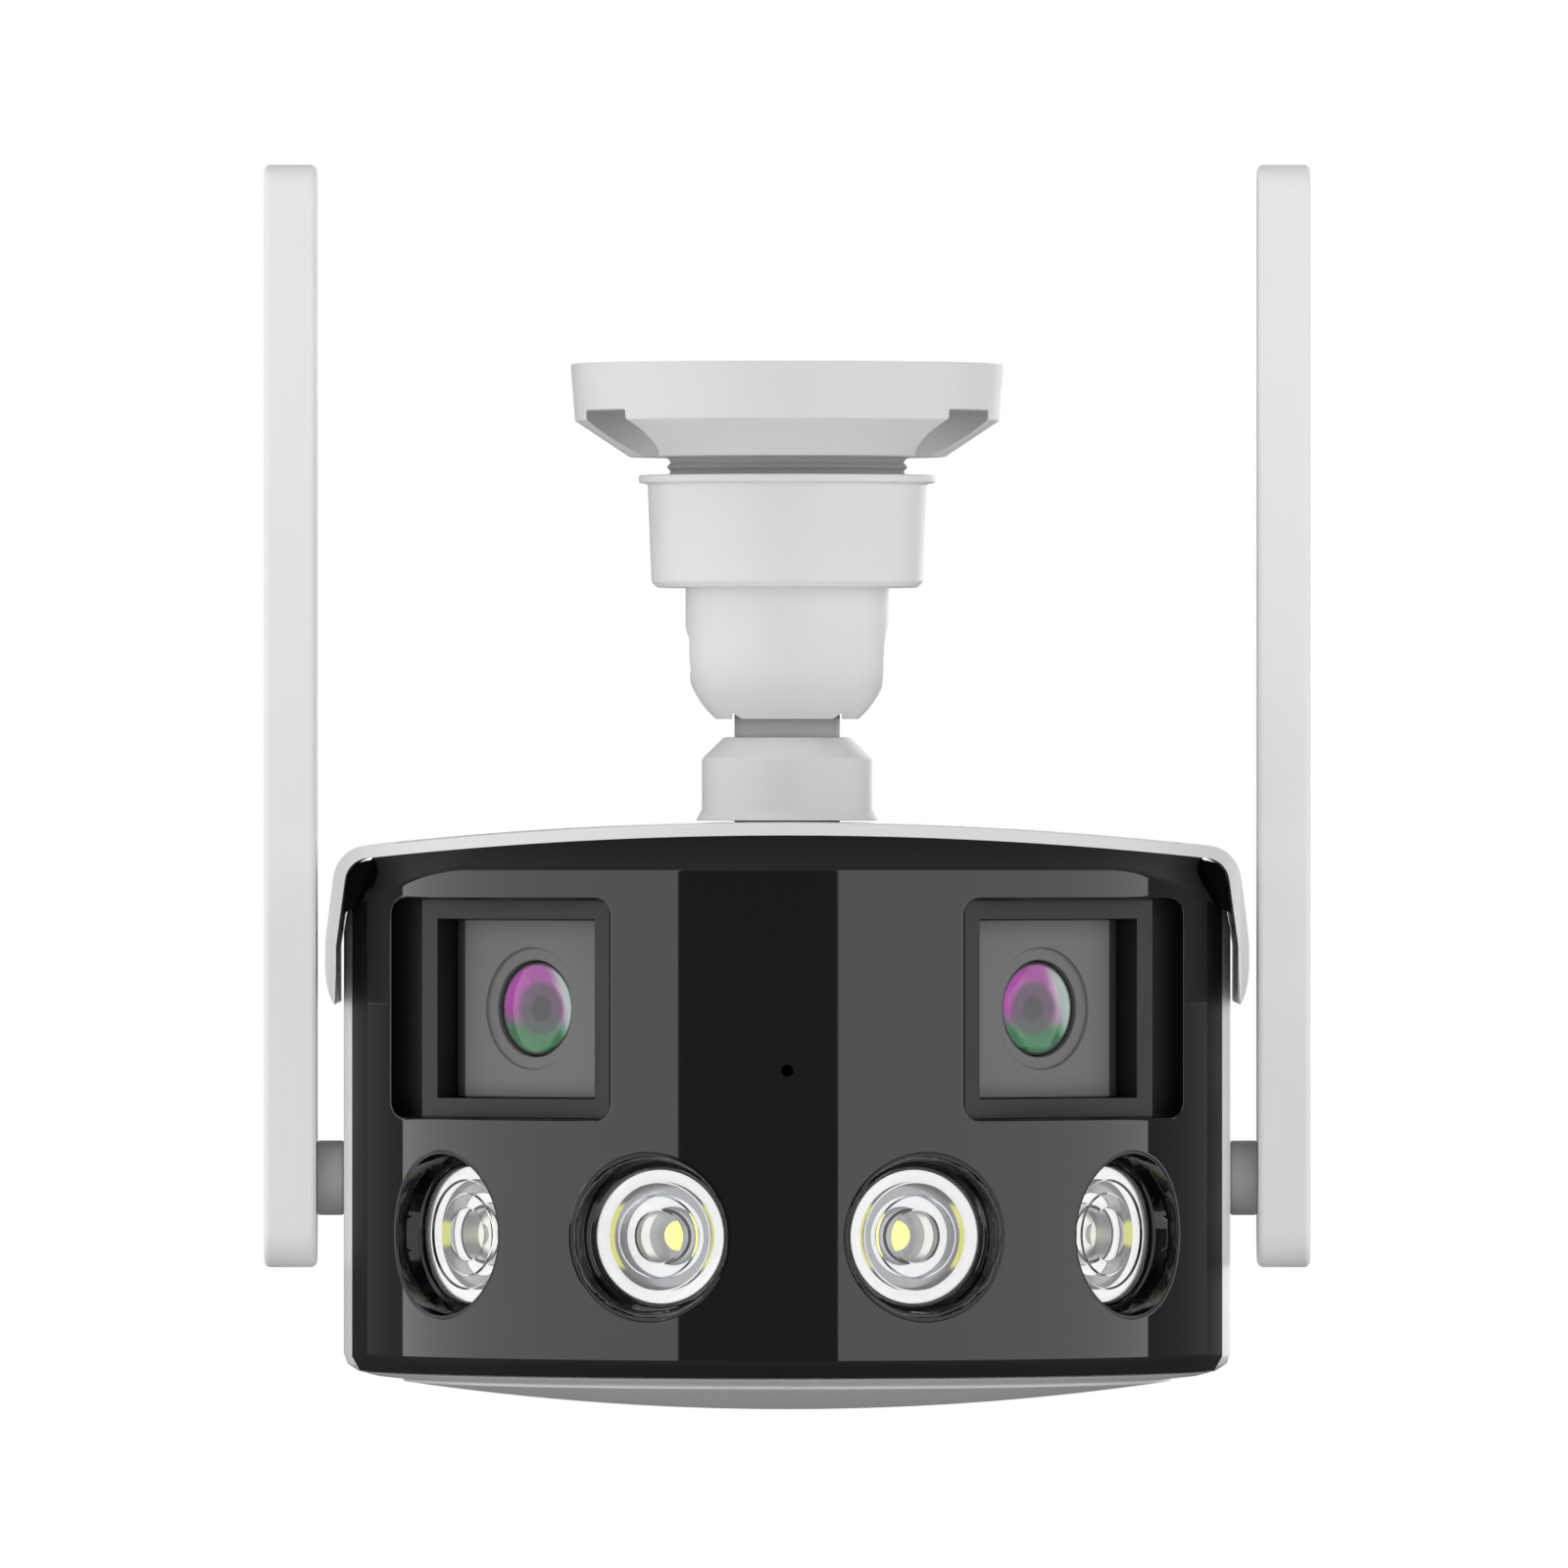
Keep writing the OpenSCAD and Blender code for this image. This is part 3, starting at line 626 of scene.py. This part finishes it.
    # Painted light: the base colour is nearly black and the colours glow through the emission
    dim = put(tree, "ShaderNodeMix", COLOURS, {0: 0.93, 6: shade.outputs[2], 7: linear("#000000")})
    tree.links.new(dim.outputs[2], shader.inputs["Base Color"])
    tree.links.new(shade.outputs[2], shader.inputs["Emission Color"])
    shader.inputs["Emission Strength"].default_value = 0.66
    return material


def clear_acrylic():
    """Moulded clear acrylic: water-clear with a polished face."""
    return finish("clear acrylic, moulded", CLEAR, 0.01, IOR=1.49, Transmission_Weight=1.0)[0]


def filter_glass():
    """Infrared-cut filter glass: thin and clear, with the red cast of its interference coating."""
    return finish("filter glass, red tinted", linear("#8c2f3a"), 0.05, Transmission_Weight=0.8)[0]


def lamp_silver():
    """Vacuum-metallised reflector: a soft, faintly rippled mirror that glows a little, as painted light."""
    material, tree, shader = finish("aluminium, vacuum metallised", linear("#a9abae"), 0.22, Metallic=0.6)
    grain(tree, shader, 2.5, 0.01, 0.22, 0.05)
    # Painted light: the reflector glows a faint grey
    shader.inputs["Emission Color"].default_value = linear("#8a8c8f")
    shader.inputs["Emission Strength"].default_value = 0.3
    return material


def painted_highlight_rings(name, colour, painted_glow):
    """Bright reflector rings: painted white highlights that also glow."""
    material, tree, shader = finish(name, colour, 0.25)
    patches = grain(tree, shader, 1.5, 0.004, 0.25, 0.05)
    mottle(tree, shader, patches, colour, 0.94)
    # Painted highlight: the rings glow white
    shader.inputs["Emission Color"].default_value = colour
    shader.inputs["Emission Strength"].default_value = painted_glow
    return material


def painted_reflection_band(name, plain, mirrored, half_mm, painted_glow):
    """Silvered ring with a painted reflection: a band of the mirrored colour on each side level with the chip,
    glowing a little.
    """
    material, tree, shader = finish(name, plain, 0.2)
    place = put(tree, "ShaderNodeTexCoord").outputs["Object"]
    parts = put(tree, "ShaderNodeSeparateXYZ", None, {"Vector": place})
    off = put(tree, "ShaderNodeMath", {"operation": "SUBTRACT"}, {0: parts.outputs["Z"], 1: LAMP_Z})
    away = put(tree, "ShaderNodeMath", {"operation": "ABSOLUTE"}, {0: off.outputs["Value"]})
    near = put(tree, "ShaderNodeMapRange", SOFT_ENDS, {
        "Value": away.outputs["Value"], "From Min": (half_mm + 0.7) * MM, "From Max": (half_mm - 0.7) * MM})
    # Painted reflection: the band's colour is also its glow
    colour = put(tree, "ShaderNodeMix", COLOURS, {0: near.outputs["Result"], 6: plain, 7: mirrored})
    tree.links.new(colour.outputs[2], shader.inputs["Base Color"])
    tree.links.new(colour.outputs[2], shader.inputs["Emission Color"])
    shader.inputs["Emission Strength"].default_value = painted_glow
    return material


def phosphor(settings):
    """Phosphor in silicone over a blue chip: pale yellow and soft, with a faint glow of painted light that
    stands in for light the clear cover keeps from it.
    """
    material, tree, shader = finish("phosphor in silicone", settings.phosphor, 0.4)
    patches = grain(tree, shader, 0.3, 0.01, 0.4, 0.05)
    mottle(tree, shader, patches, settings.phosphor, 0.92)
    # Painted light: the phosphor glows
    shader.inputs["Emission Color"].default_value = settings.phosphor
    shader.inputs["Emission Strength"].default_value = settings.painted_glow
    return material


FINISHES = {}


def make_finishes(scene):
    """One finish for each material slot of the record, and those of the new pieces."""
    shell, front = scene.shell_settings, scene.front_settings
    yellow = scene.lamp_settings.phosphor
    FINISHES.update({
        "bracket_white": moulded_abs("white ABS, moulded bracket", shell.white),
        "housing_white": moulded_abs("white ABS, moulded housing", shell.white, 0.3),
        "antenna_white": moulded_abs("white ABS, matt blade", shell.blade_white, 0.5),
        "stem_grey": grained_plastic("grey nylon, moulded stem", linear("#b4b4b4"), 0.5),
        "hub_grey": grained_plastic("grey nylon, moulded hub", linear("#b0b0b0"), 0.5),
        "nylon_grey": grained_plastic("grey nylon, washer", linear("#a8a8a8"), 0.55),
        "gasket_rubber": rubber(),
        "plated_steel": zinc_steel(),
        "panel_black": polished_acrylic(front.black),
        "panel_border": masked_border(),
        # Painted shade: near black for the microphone's shallow blind hole, standing in for a deep hole's
        # darkness
        "mic_hole_shade": grained_plastic("black, painted shade of the microphone hole", linear("#040404"), 0.9, Specular_IOR_Level=0.05),
        "frame_grey": grained_plastic("dark grey ABS, spark eroded", front.frame_grey, 0.55),
        "plate_grey": grained_plastic("grey ABS, fine matt", front.plate_grey, 0.6, 0.35, 0.006),
        # Painted shade: black for the windows' unlit outer walls; also the dark rims in the lamps
        "barrel_black": grained_plastic("black, painted shade and dark rims", linear("#161616"), 0.45, 0.3, 0.004),
        "coated_glass": optical_glass(),
        "filter_glass": filter_glass(),
        "circuit_board": solder_mask("green solder mask", linear("#1f5a35")),
        "lamp_board": solder_mask("white solder mask", linear("#e8e8e4")),
        "cup_black": cup_plastic(),
        "clear_acrylic": clear_acrylic(),
        "can_aluminium": extruded_aluminium(),
        "speaker_black": grained_plastic("black speaker cone", linear("#1c1c1c"), 0.7),
        "gland_black": grained_plastic("black nylon, moulded", linear("#202020"), 0.45, 0.4, 0.01),
        "button_grey": grained_plastic("grey button cap", linear("#5a5a5a"), 0.5),
        # The lamp finishes below carry painted light: a glowing reflector, glowing highlight rings and
        # reflection bands
        "silver": lamp_silver(),
        "painted_highlight_rings": painted_highlight_rings("aluminium, painted highlight rings", linear("#f4f5f6"), 0.6),
        "lamp_painted_arcs": painted_reflection_band(
            "aluminium, mirrored phosphor", linear("#6b6d6f"), yellow, 4.9, 0.35),
        "outer_lamp_painted_arcs": painted_reflection_band(
            "aluminium, mirrored phosphor, outer", linear("#7c7e80"), yellow, 2.0, 0.35),
        "tube_painted_band": painted_reflection_band("aluminium, tube wall, painted highlight band", linear("#5d5e60"), linear("#f4f5f6"), 2.9, 0.55),
        "phosphor": phosphor(scene.lamp_settings),
        # Painted shade: grey for the white base's threaded boss and screw pocket walls
        "recess_painted_shade": grained_plastic("ABS, painted shade in recesses", linear("#b4b4b4"), 0.6),
    })
    for node, piece in NODES.items():
        piece.data.materials[0] = FINISHES[SLOT_OF[node]]


# ---- pieces ----

class CAMERA_OT_bracket(bpy.types.Operator):
    """Softens the edges of the bracket's moulded pieces"""
    bl_idname = "camera_parts.bracket"
    bl_label = "Bracket"

    def execute(self, context):
        edge = context.scene.shell_settings.edge
        for node in ("mount_base", "clamp_nut", "swivel_arm", "lock_collar", "tilt_stem"):
            piece = softened(node, edge * 0.6, FINISHES[SLOT_OF[node]])
            if node == "mount_base":
                # Painted shade: the base's threaded boss and pocket walls take a grey
                repaint(piece, FINISHES["recess_painted_shade"], self.is_recess)
        return {"FINISHED"}

    def is_recess(self, spot):
        """The threaded boss, and the walls of the three screw pockets, which are painted grey as their shade.
        """
        if spot.z > RECESS_TOP:
            return False
        if math.hypot(spot.x, spot.y) < BOSS_R and spot.z < BOSS_TOP:
            return True
        for turn in POCKET_TURNS:
            away_x = spot.x - POCKET_RING_R * math.cos(turn)
            away_y = spot.y - POCKET_RING_R * math.sin(turn)
            if math.hypot(away_x, away_y) < POCKET_R:
                return True
        return False


class CAMERA_OT_shells(bpy.types.Operator):
    """Softens the edges of the sunshield, housing, covers and antennas"""
    bl_idname = "camera_parts.shells"
    bl_label = "Shells and antennas"

    def execute(self, context):
        shell = context.scene.shell_settings
        softened("sunshield", shell.edge, FINISHES["housing_white"], where=self.on_hood_top)
        for node in ("housing_shell", "bottom_cover", "rear_cover", "service_cover"):
            softened(node, shell.edge, FINISHES["housing_white"])
        for side in SIDES:
            softened("antenna_" + side, shell.blade_edge, FINISHES["antenna_white"], 4)
            softened("antenna_hub_" + side, shell.edge, FINISHES["hub_grey"])
        return {"FINISHED"}

    def on_hood_top(self, spot):
        """The outer top edge along the front of the hood."""
        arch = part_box("sunshield")[1].z - SHIELD_ARCH_R + math.sqrt(SHIELD_ARCH_R ** 2 - spot.x ** 2)
        return abs(spot.z - arch) < 0.1 * MM and abs(spot.x) < 62 * MM and spot.y < 30 * MM


class CAMERA_OT_black_front(bpy.types.Operator):
    """Spins the curved black front, cuts its windows and polishes their edges, then cuts its lamp holes"""
    bl_idname = "camera_parts.black_front"
    bl_label = "Black front"

    def execute(self, context):
        front = context.scene.front_settings
        inner = SKIN_R - WALL
        low, top = FRONT_LOW.z, FRONT_HIGH.z
        lip = top - FLANGE_DROP
        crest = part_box("sunshield")[1].z - SHIELD_WALL
        outline = [
            (inner, lip), (SKIN_R - FLANGE, lip), (SKIN_R - FLANGE, crest),
            (SKIN_R - CHAMFER - CHAMFER_SLOPE * (crest - top), crest), (SKIN_R, top - CHAMFER_DROP),
            (SKIN_R, low + BOTTOM_CHAMFER_RISE), (SKIN_R - BOTTOM_CHAMFER, low), (inner, low)]
        piece = lathe("black_front", outline, FACETS, math.pi, (0, BODY_AXIS_Y, 0))
        for corner in piece.data.vertices:
            if top - 6 * MM < corner.co.z < top - 1 * MM:
                past = max(0, abs(corner.co.x) / MM - FALL_FROM)
                corner.co.z -= FALL_RATE * past ** FALL_POWER * MM
        edit(piece)
        bpy.ops.mesh.bisect(
            plane_co=(0, FRONT_HIGH.y, 0), plane_no=(0, 1, 0), clear_outer=True, use_fill=True)
        bpy.ops.mesh.select_all(action="SELECT")
        bpy.ops.mesh.normals_make_consistent(inside=False)
        piece = done("black_front")
        arch = [(x * MM, crest - ARCH_R + math.sqrt(ARCH_R ** 2 - (x * MM) ** 2)) for x in range(-72, 73, 4)]
        cut(piece, slab("arch", arch + [(72 * MM, 0), (-72 * MM, 0)], -90 * MM, 10 * MM))
        for side in (-1, 1):
            cut(piece, self.window(side, front.corner))
        edit(piece)
        bpy.ops.mesh.remove_doubles(threshold=0.02 * MM)
        piece = done("black_front")
        soften(piece, front.edge, 4, 24, self.on_skin)
        for turn in LAMP_TURNS:
            cut(piece, self.bore(turn, LAMP_Z, LAMP_BORE_R, 128))
        cut(piece, self.bore(0, MIC_Z, MIC_R, 32, MIC_SHIFT))
        pick(piece)
        bpy.ops.object.shade_smooth_by_angle(angle=math.radians(24))
        true_skin(piece)
        stands_for(piece, FINISHES["panel_black"], "front_panel")
        repaint(piece, FINISHES["panel_border"], self.is_border)
        # The microphone hole's wall and floor get painted shade
        repaint(piece, FINISHES["mic_hole_shade"], self.is_mic)
        for side in (-1, 1):
            self.end(side)
        return {"FINISHED"}

    def on_skin(self, spot):
        """The outer skin, without its two ends."""
        reach = math.hypot(spot.x, spot.y - BODY_AXIS_Y)
        return abs(reach - SKIN_R) < 0.05 * MM and spot.y < FRONT_HIGH.y - 0.1 * MM

    def bore(self, turn, level, radius, steps, shift=0):
        """Round cutter pointing outwards through the skin, or shifted outwards for a blind hole."""
        bpy.ops.object.select_all(action="DESELECT")
        bpy.ops.mesh.primitive_cylinder_add(vertices=steps, radius=radius, depth=BORE_DEPTH)
        return outwards(bpy.context.active_object, turn, SKIN_R + shift, level)

    def is_mic(self, spot):
        """The wall and floor of the microphone's blind hole, painted near black as the shade of a deep hole.
        """
        return math.hypot(spot.x, spot.z - MIC_Z) < MIC_R + 0.05 * MM

    def is_border(self, spot):
        """The masked border along each side, and the chamfer and its edge radius along the bottom."""
        return abs(spot.x) > BORDER_X or spot.z < FRONT_LOW.z + BOTTOM_CHAMFER_RISE + 0.7 * MM

    def end(self, side):
        """Tab that closes the front against the sunshield's flap at each top corner."""
        outline = [(65.0, -78.9), (65.0, -84.4), (67.4, -85.4), (69.0, -86.3), (70.4, -87.1), (69.75, -81.8),
                   (69.2, -80.3), (68.2, -79.1), (66.6, -78.6)]
        piece = slab("black_front_end", [(side * x * MM, z * MM) for x, z in outline], -1.1 * MM, 0.15 * MM)
        soften(piece, 0.15 * MM, 2)
        dress(piece, FINISHES["panel_border"])
        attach(piece, "camera")

    def window(self, side, corner):
        """Block for one lens window, its corners rounded about Y."""
        low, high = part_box("window_frame_right")
        bpy.ops.object.select_all(action="DESELECT")
        bpy.ops.mesh.primitive_cube_add(size=1, location=(side * WINDOW_X, -35 * MM, (low.z + high.z) / 2))
        bpy.ops.transform.resize(value=(WINDOW_WIDE, 70 * MM, WINDOW_TALL))
        block = settle(bpy.context.active_object)
        edit(block, "DESELECT")
        bpy.ops.mesh.select_mode(type="EDGE")
        bpy.ops.object.mode_set(mode="OBJECT")
        for line in block.data.edges:
            a, b = (block.data.vertices[i].co for i in line.vertices)
            line.select = abs(a.y - b.y) > 10 * MM
        bpy.ops.object.mode_set(mode="EDIT")
        bpy.ops.mesh.bevel(offset=corner, segments=6, affect="EDGES")
        return done("window block")


class CAMERA_OT_lens_windows(bpy.types.Operator):
    """Softens the window frames and plates, and builds the coated lens elements"""
    bl_idname = "camera_parts.lens_windows"
    bl_label = "Lens windows"

    def execute(self, context):
        edge = context.scene.front_settings.edge
        settings = context.scene.lens_settings
        for side in SIDES:
            turn = LENS_TURN if side == "right" else -LENS_TURN
            piece = softened("window_frame_" + side, edge * 0.7, FINISHES["frame_grey"])
            # Painted shade: the window's outer wall is painted black
            repaint(piece, FINISHES["barrel_black"], lambda spot: self.is_wall(spot, side))
            piece = softened("lens_plate_" + side, edge * 0.5, FINISHES["plate_grey"])
            repaint(piece, FINISHES["frame_grey"], lambda spot: self.is_bevel(spot, side))
            self.elements(settings, side, turn)
        return {"FINISHED"}

    def is_bevel(self, spot, side):
        """The plate's bevelled outer edge."""
        return in_lens_frame(spot, side)[0] > PLATE_BEVEL_FROM

    def is_wall(self, spot, side):
        """The outer wall of the window, which no light reaches, painted black as its shade."""
        along, out, up = in_lens_frame(spot, side)
        return 16.1 * MM < along < 16.6 * MM and out < 66.1 * MM and abs(up) < 14.3 * MM

    def elements(self, settings, side, turn):
        """A clear front element over a shallow bowl of coated elements, which carry painted reflections that
        glow.
        """
        dome_r, rim_out = 16 * MM, 60.95 * MM
        rim = math.asin(LENS_R / dome_r)
        top = rim_out + dome_r * (1 - math.cos(rim))
        turns = [rim * i / 10 for i in range(11)]
        dome = [(dome_r * math.sin(t), top - dome_r * (1 - math.cos(t))) for t in turns]
        back = [(LENS_R, 60.93 * MM), (6.9 * MM, 60.93 * MM), (4.5 * MM, 61.3 * MM), (0, 61.5 * MM)]
        glass = lathe("front_element_" + side, dome + back, 72)
        outwards(glass, turn, 0, LENS_Z)
        pick(glass)
        bpy.ops.object.shade_smooth_by_angle(angle=math.radians(40))
        stands_for(glass, FINISHES["coated_glass"], "lens_glass_" + side)
        steps = [(7.02, 60.9), (6.7, 60.85), (5.6, 60.5), (4.6, 60.35), (4.2, 60.1), (3.8, 60.05),
                 (1.7, 59.9), (1.5, 59.7), (0, 59.6), (0, 59.2), (7.02, 59.2)]
        bowl = lathe("coated_elements_" + side, [(r * MM, z * MM) for r, z in steps], 72)
        outwards(bowl, turn, 0, LENS_Z)
        pick(bowl)
        bpy.ops.object.shade_smooth_by_angle(angle=math.radians(35))
        dress(bowl, painted_lens_bowl(settings, side))
        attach(bowl, "camera")


class CAMERA_OT_lamps(bpy.types.Operator):
    """Builds the four lamps' lenses, metallised reflectors and phosphor chips"""
    bl_idname = "camera_parts.lamps"
    bl_label = "Lamps"

    def execute(self, context):
        for number, turn in enumerate(LAMP_TURNS, 1):
            self.lens(number, turn)
            self.reflector(number, turn)
            self.chip(number, turn)
            softened("led_cup_%d" % number, 0.25 * MM, FINISHES["cup_black"], 2)
        return {"FINISHED"}

    def lens(self, number, turn):
        """Clear cover with a domed middle, a stepped face and a flange."""
        outline = [(0, 65.25), (2.5, 65.2), (4.1, 65.05), (4.4, 65.2), (6.3, 65.2), (6.6, 64.95),
                   (8.4, 64.95), (8.7, 65.3), (10.2, 65.3), (10.7, 65.1), (11.05, 64.9), (11.05, 64.1),
                   (6, 64.0), (0, 64.0)]
        piece = lathe("lamp_lens_%d" % number, [(r * MM, z * MM) for r, z in outline], 96)
        outwards(piece, turn, 0, LAMP_Z)
        pick(piece)
        bpy.ops.object.shade_smooth_by_angle(angle=math.radians(28))
        stands_for(piece, FINISHES["clear_acrylic"], "led_lens_%d" % number)

    def reflector(self, number, turn):
        """Metallised rings, with painted highlight rings and reflection bands, round a deep tube, with the
        phosphor chip on its floor.
        """
        rings = [(10.95, 64.0), (10.3, 63.9), (10.2, 63.6), (9.4, 63.3), (8.6, 62.9), (8.5, 62.3),
                 (8.0, 62.1), (7.5, 61.9), (6.5, 61.7), (6.4, 61.5), (5.0, 59.4), (4.7, 59.3)]
        tube = [(4.7, 61.8), (4.3, 61.8), (4.28, 59.6), (4.25, 55.4), (0, 55.35)]
        back = [(0, 54.9), (4.8, 54.9), (8.8, 61.2), (10.95, 62.8)]
        outline = rings + tube + back
        piece = lathe("lamp_reflector_%d" % number, [(r * MM, z * MM) for r, z in outline], 96)
        painted_arcs = FINISHES["outer_lamp_painted_arcs" if number in (1, 4) else "lamp_painted_arcs"]
        dress(piece, FINISHES["silver"], FINISHES["painted_highlight_rings"], painted_arcs, FINISHES["barrel_black"],
              FINISHES["tube_painted_band"])
        # Faces by position: painted highlight rings, painted reflection bands in the ring and tube, and dark
        # rims
        for face in piece.data.polygons:
            reach = math.hypot(face.center.x, face.center.y) / MM
            out = face.center.z / MM
            if 8.6 < reach < 10.2 and out > 62.85 or 4.9 < reach < 6.45 and 59.3 < out < 61.6:
                face.material_index = 1
            elif 4.2 < reach < 4.3 and 55.4 < out < 59.6:
                face.material_index = 4
            elif 7.95 < reach < 8.6 and out > 61.85:
                face.material_index = 2
            elif 4.25 < reach < 4.75 and out > 61.7 or reach > 10.25:
                face.material_index = 3
        outwards(piece, turn, 0, LAMP_Z)
        pick(piece)
        bpy.ops.object.shade_smooth_by_angle(angle=math.radians(28))
        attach(piece, "camera")

    def chip(self, number, turn):
        """Round phosphor patch over the chip, on the tube's floor."""
        outline = [(0, 55.95), (1.2, 55.9), (1.85, 55.75), (2.1, 55.55), (2.1, 55.3), (0, 55.3)]
        piece = lathe("phosphor_%d" % number, [(r * MM, z * MM) for r, z in outline], 40)
        outwards(piece, turn, 0, LAMP_Z)
        pick(piece)
        bpy.ops.object.shade_smooth_by_angle(angle=math.radians(40))
        dress(piece, FINISHES["phosphor"])
        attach(piece, "camera")


class CAMERA_OT_fittings(bpy.types.Operator):
    """Softens the small fittings: screws, nuts and the cable gland"""
    bl_idname = "camera_parts.fittings"
    bl_label = "Fittings"

    def execute(self, context):
        for node in ("tilt_screw", "tilt_nut", "cable_gland", "gland_nut", "sunshield_screws", "rear_screws"):
            softened(node, 0.18 * MM, FINISHES[SLOT_OF[node]], 2)
        return {"FINISHED"}


class CAMERA_OT_studio(bpy.types.Operator):
    """Sets the floor, the side cards, the room and the camera"""
    bl_idname = "camera_parts.studio"
    bl_label = "Studio"

    def execute(self, context):
        scene = context.scene
        stage = scene.stage_settings
        low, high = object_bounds()
        centre = Vector((-0.5 * MM, (low.y + high.y) / 2, -66.5 * MM))
        self.room(scene, stage)
        self.floor(centre)
        # Each card covers a sector of directions, counted from the camera's side of the object
        self.card("card left", centre, -73, 90, stage.card_light)
        self.card("card right", centre, 60, 94, stage.card_light)
        self.softbox("overhead", centre, (-0.7, -0.6, 1.5), 1.0, 1.6)
        self.softbox("low front", centre, (-0.5, -1.8, -0.9), 1.2, 1.4)
        self.softbox("behind", centre, (0.6, 2.2, 0.5), 1.4, 1.6)
        self.camera(scene, stage, centre)
        scene.view_settings.view_transform = "Standard"
        return {"FINISHED"}

    def room(self, scene, stage):
        """A dim room that lights and is reflected, behind a white background."""
        world = bpy.data.worlds.new("studio room")
        world.use_nodes = True
        tree = world.node_tree
        tree.nodes.clear()
        ray = put(tree, "ShaderNodeLightPath")
        mirrored = put(tree, "ShaderNodeMix", None, {
            0: ray.outputs["Is Glossy Ray"], 2: stage.room_light, 3: stage.room_mirror})
        level = put(tree, "ShaderNodeMix", None, {
            0: ray.outputs["Is Camera Ray"], 2: mirrored.outputs[0], 3: 1.0})
        light = put(tree, "ShaderNodeBackground", None, {"Color": (1, 1, 1, 1), "Strength": level.outputs[0]})
        put(tree, "ShaderNodeOutputWorld", None, {"Surface": light.outputs["Background"]})
        scene.world = world

    def floor(self, centre):
        """A pale round floor well below the camera, as the object hangs from a ceiling."""
        bpy.ops.object.select_all(action="DESELECT")
        bpy.ops.mesh.primitive_circle_add(vertices=96, radius=FLOOR_R, fill_type="NGON",
                                          location=(centre.x, centre.y, FLOOR_LEVEL))
        floor = settle(bpy.context.active_object)
        floor.name = "studio_floor"
        material, tree, shader = finish("floor, matt painted", linear("#7c7c7c"), 0.9)
        grain(tree, shader, 3.0, 0.05, 0.9, 0.05)
        # Seen directly, the floor is as pale as the room
        pale = put(tree, "ShaderNodeEmission", None, {"Color": linear("#f2f2f2"), "Strength": 1.0})
        ray = put(tree, "ShaderNodeLightPath")
        seen = put(tree, "ShaderNodeMixShader", None, {
            0: ray.outputs["Is Camera Ray"], 1: shader.outputs["BSDF"], 2: pale.outputs["Emission"]})
        tree.links.new(seen.outputs["Shader"], tree.nodes["Material Output"].inputs["Surface"])
        dress(floor, material)
        floor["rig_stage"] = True

    def card(self, name, centre, bearing, width, radiance):
        """A tall lit card, facing the object, that covers so many degrees of its view."""
        turn = math.radians(bearing)
        size = 2 * CARD_AWAY * math.tan(math.radians(width / 2))
        place = (CARD_AWAY * math.sin(turn), -CARD_AWAY * math.cos(turn), 0)
        self.softbox(name, centre, place, size, radiance, CARD_TALL)

    def softbox(self, name, centre, place, size, radiance, tall=None):
        """A square soft light that faces the object, or one with its own height."""
        light = bpy.data.lights.new(name, "AREA")
        light.size = size
        if tall:
            light.shape = "RECTANGLE"
            light.size_y = tall
        light.energy = radiance * math.pi * size * (tall or size)
        holder = bpy.data.objects.new(name, light)
        bpy.context.scene.collection.objects.link(holder)
        holder.location = centre + Vector(place)
        holder.rotation_euler = (-Vector(place)).to_track_quat("-Z", "Y").to_euler()

    def camera(self, scene, stage, centre):
        """A long lens in front of the object, level with its middle."""
        data = bpy.data.cameras.new("studio camera")
        data.sensor_width = 36
        data.sensor_fit = "HORIZONTAL"
        data.lens = data.sensor_width * stage.distance / stage.view_height
        data.clip_end = 50
        camera = bpy.data.objects.new("studio camera", data)
        scene.collection.objects.link(camera)
        camera.location = centre + Vector((0, -stage.distance, 0))
        camera.rotation_euler = (math.pi / 2, 0, 0)
        scene.camera = camera


class CAMERA_PT_parts(bpy.types.Panel):
    bl_label = "Security camera"
    bl_space_type = "VIEW_3D"
    bl_region_type = "UI"
    bl_category = "Camera"

    def draw(self, context):
        for kind in OPERATORS:
            self.layout.operator(kind.bl_idname)
        for name, kind in SETTINGS.items():
            box = self.layout.box()
            for prop in kind.__annotations__:
                box.prop(getattr(context.scene, name), prop)


OPERATORS = (CAMERA_OT_bracket, CAMERA_OT_shells, CAMERA_OT_black_front, CAMERA_OT_lens_windows,
             CAMERA_OT_lamps, CAMERA_OT_fittings, CAMERA_OT_studio)
SETTINGS = {
    "shell_settings": ShellSettings,
    "front_settings": FrontSettings,
    "lens_settings": LensSettings,
    "lamp_settings": LampSettings,
    "stage_settings": StageSettings,
}


def register():
    for kind in (*SETTINGS.values(), *OPERATORS, CAMERA_PT_parts):
        bpy.utils.register_class(kind)
    for name, kind in SETTINGS.items():
        setattr(bpy.types.Scene, name, bpy.props.PointerProperty(type=kind))


def unregister():
    for name in SETTINGS:
        delattr(bpy.types.Scene, name)
    for kind in reversed((*SETTINGS.values(), *OPERATORS, CAMERA_PT_parts)):
        bpy.utils.unregister_class(kind)


def main():
    register()
    make_finishes(bpy.context.scene)
    bpy.ops.camera_parts.bracket()
    bpy.ops.camera_parts.shells()
    bpy.ops.camera_parts.black_front()
    bpy.ops.camera_parts.lens_windows()
    bpy.ops.camera_parts.lamps()
    bpy.ops.camera_parts.fittings()
    bpy.ops.camera_parts.studio()


if __name__ == "__main__":
    main()
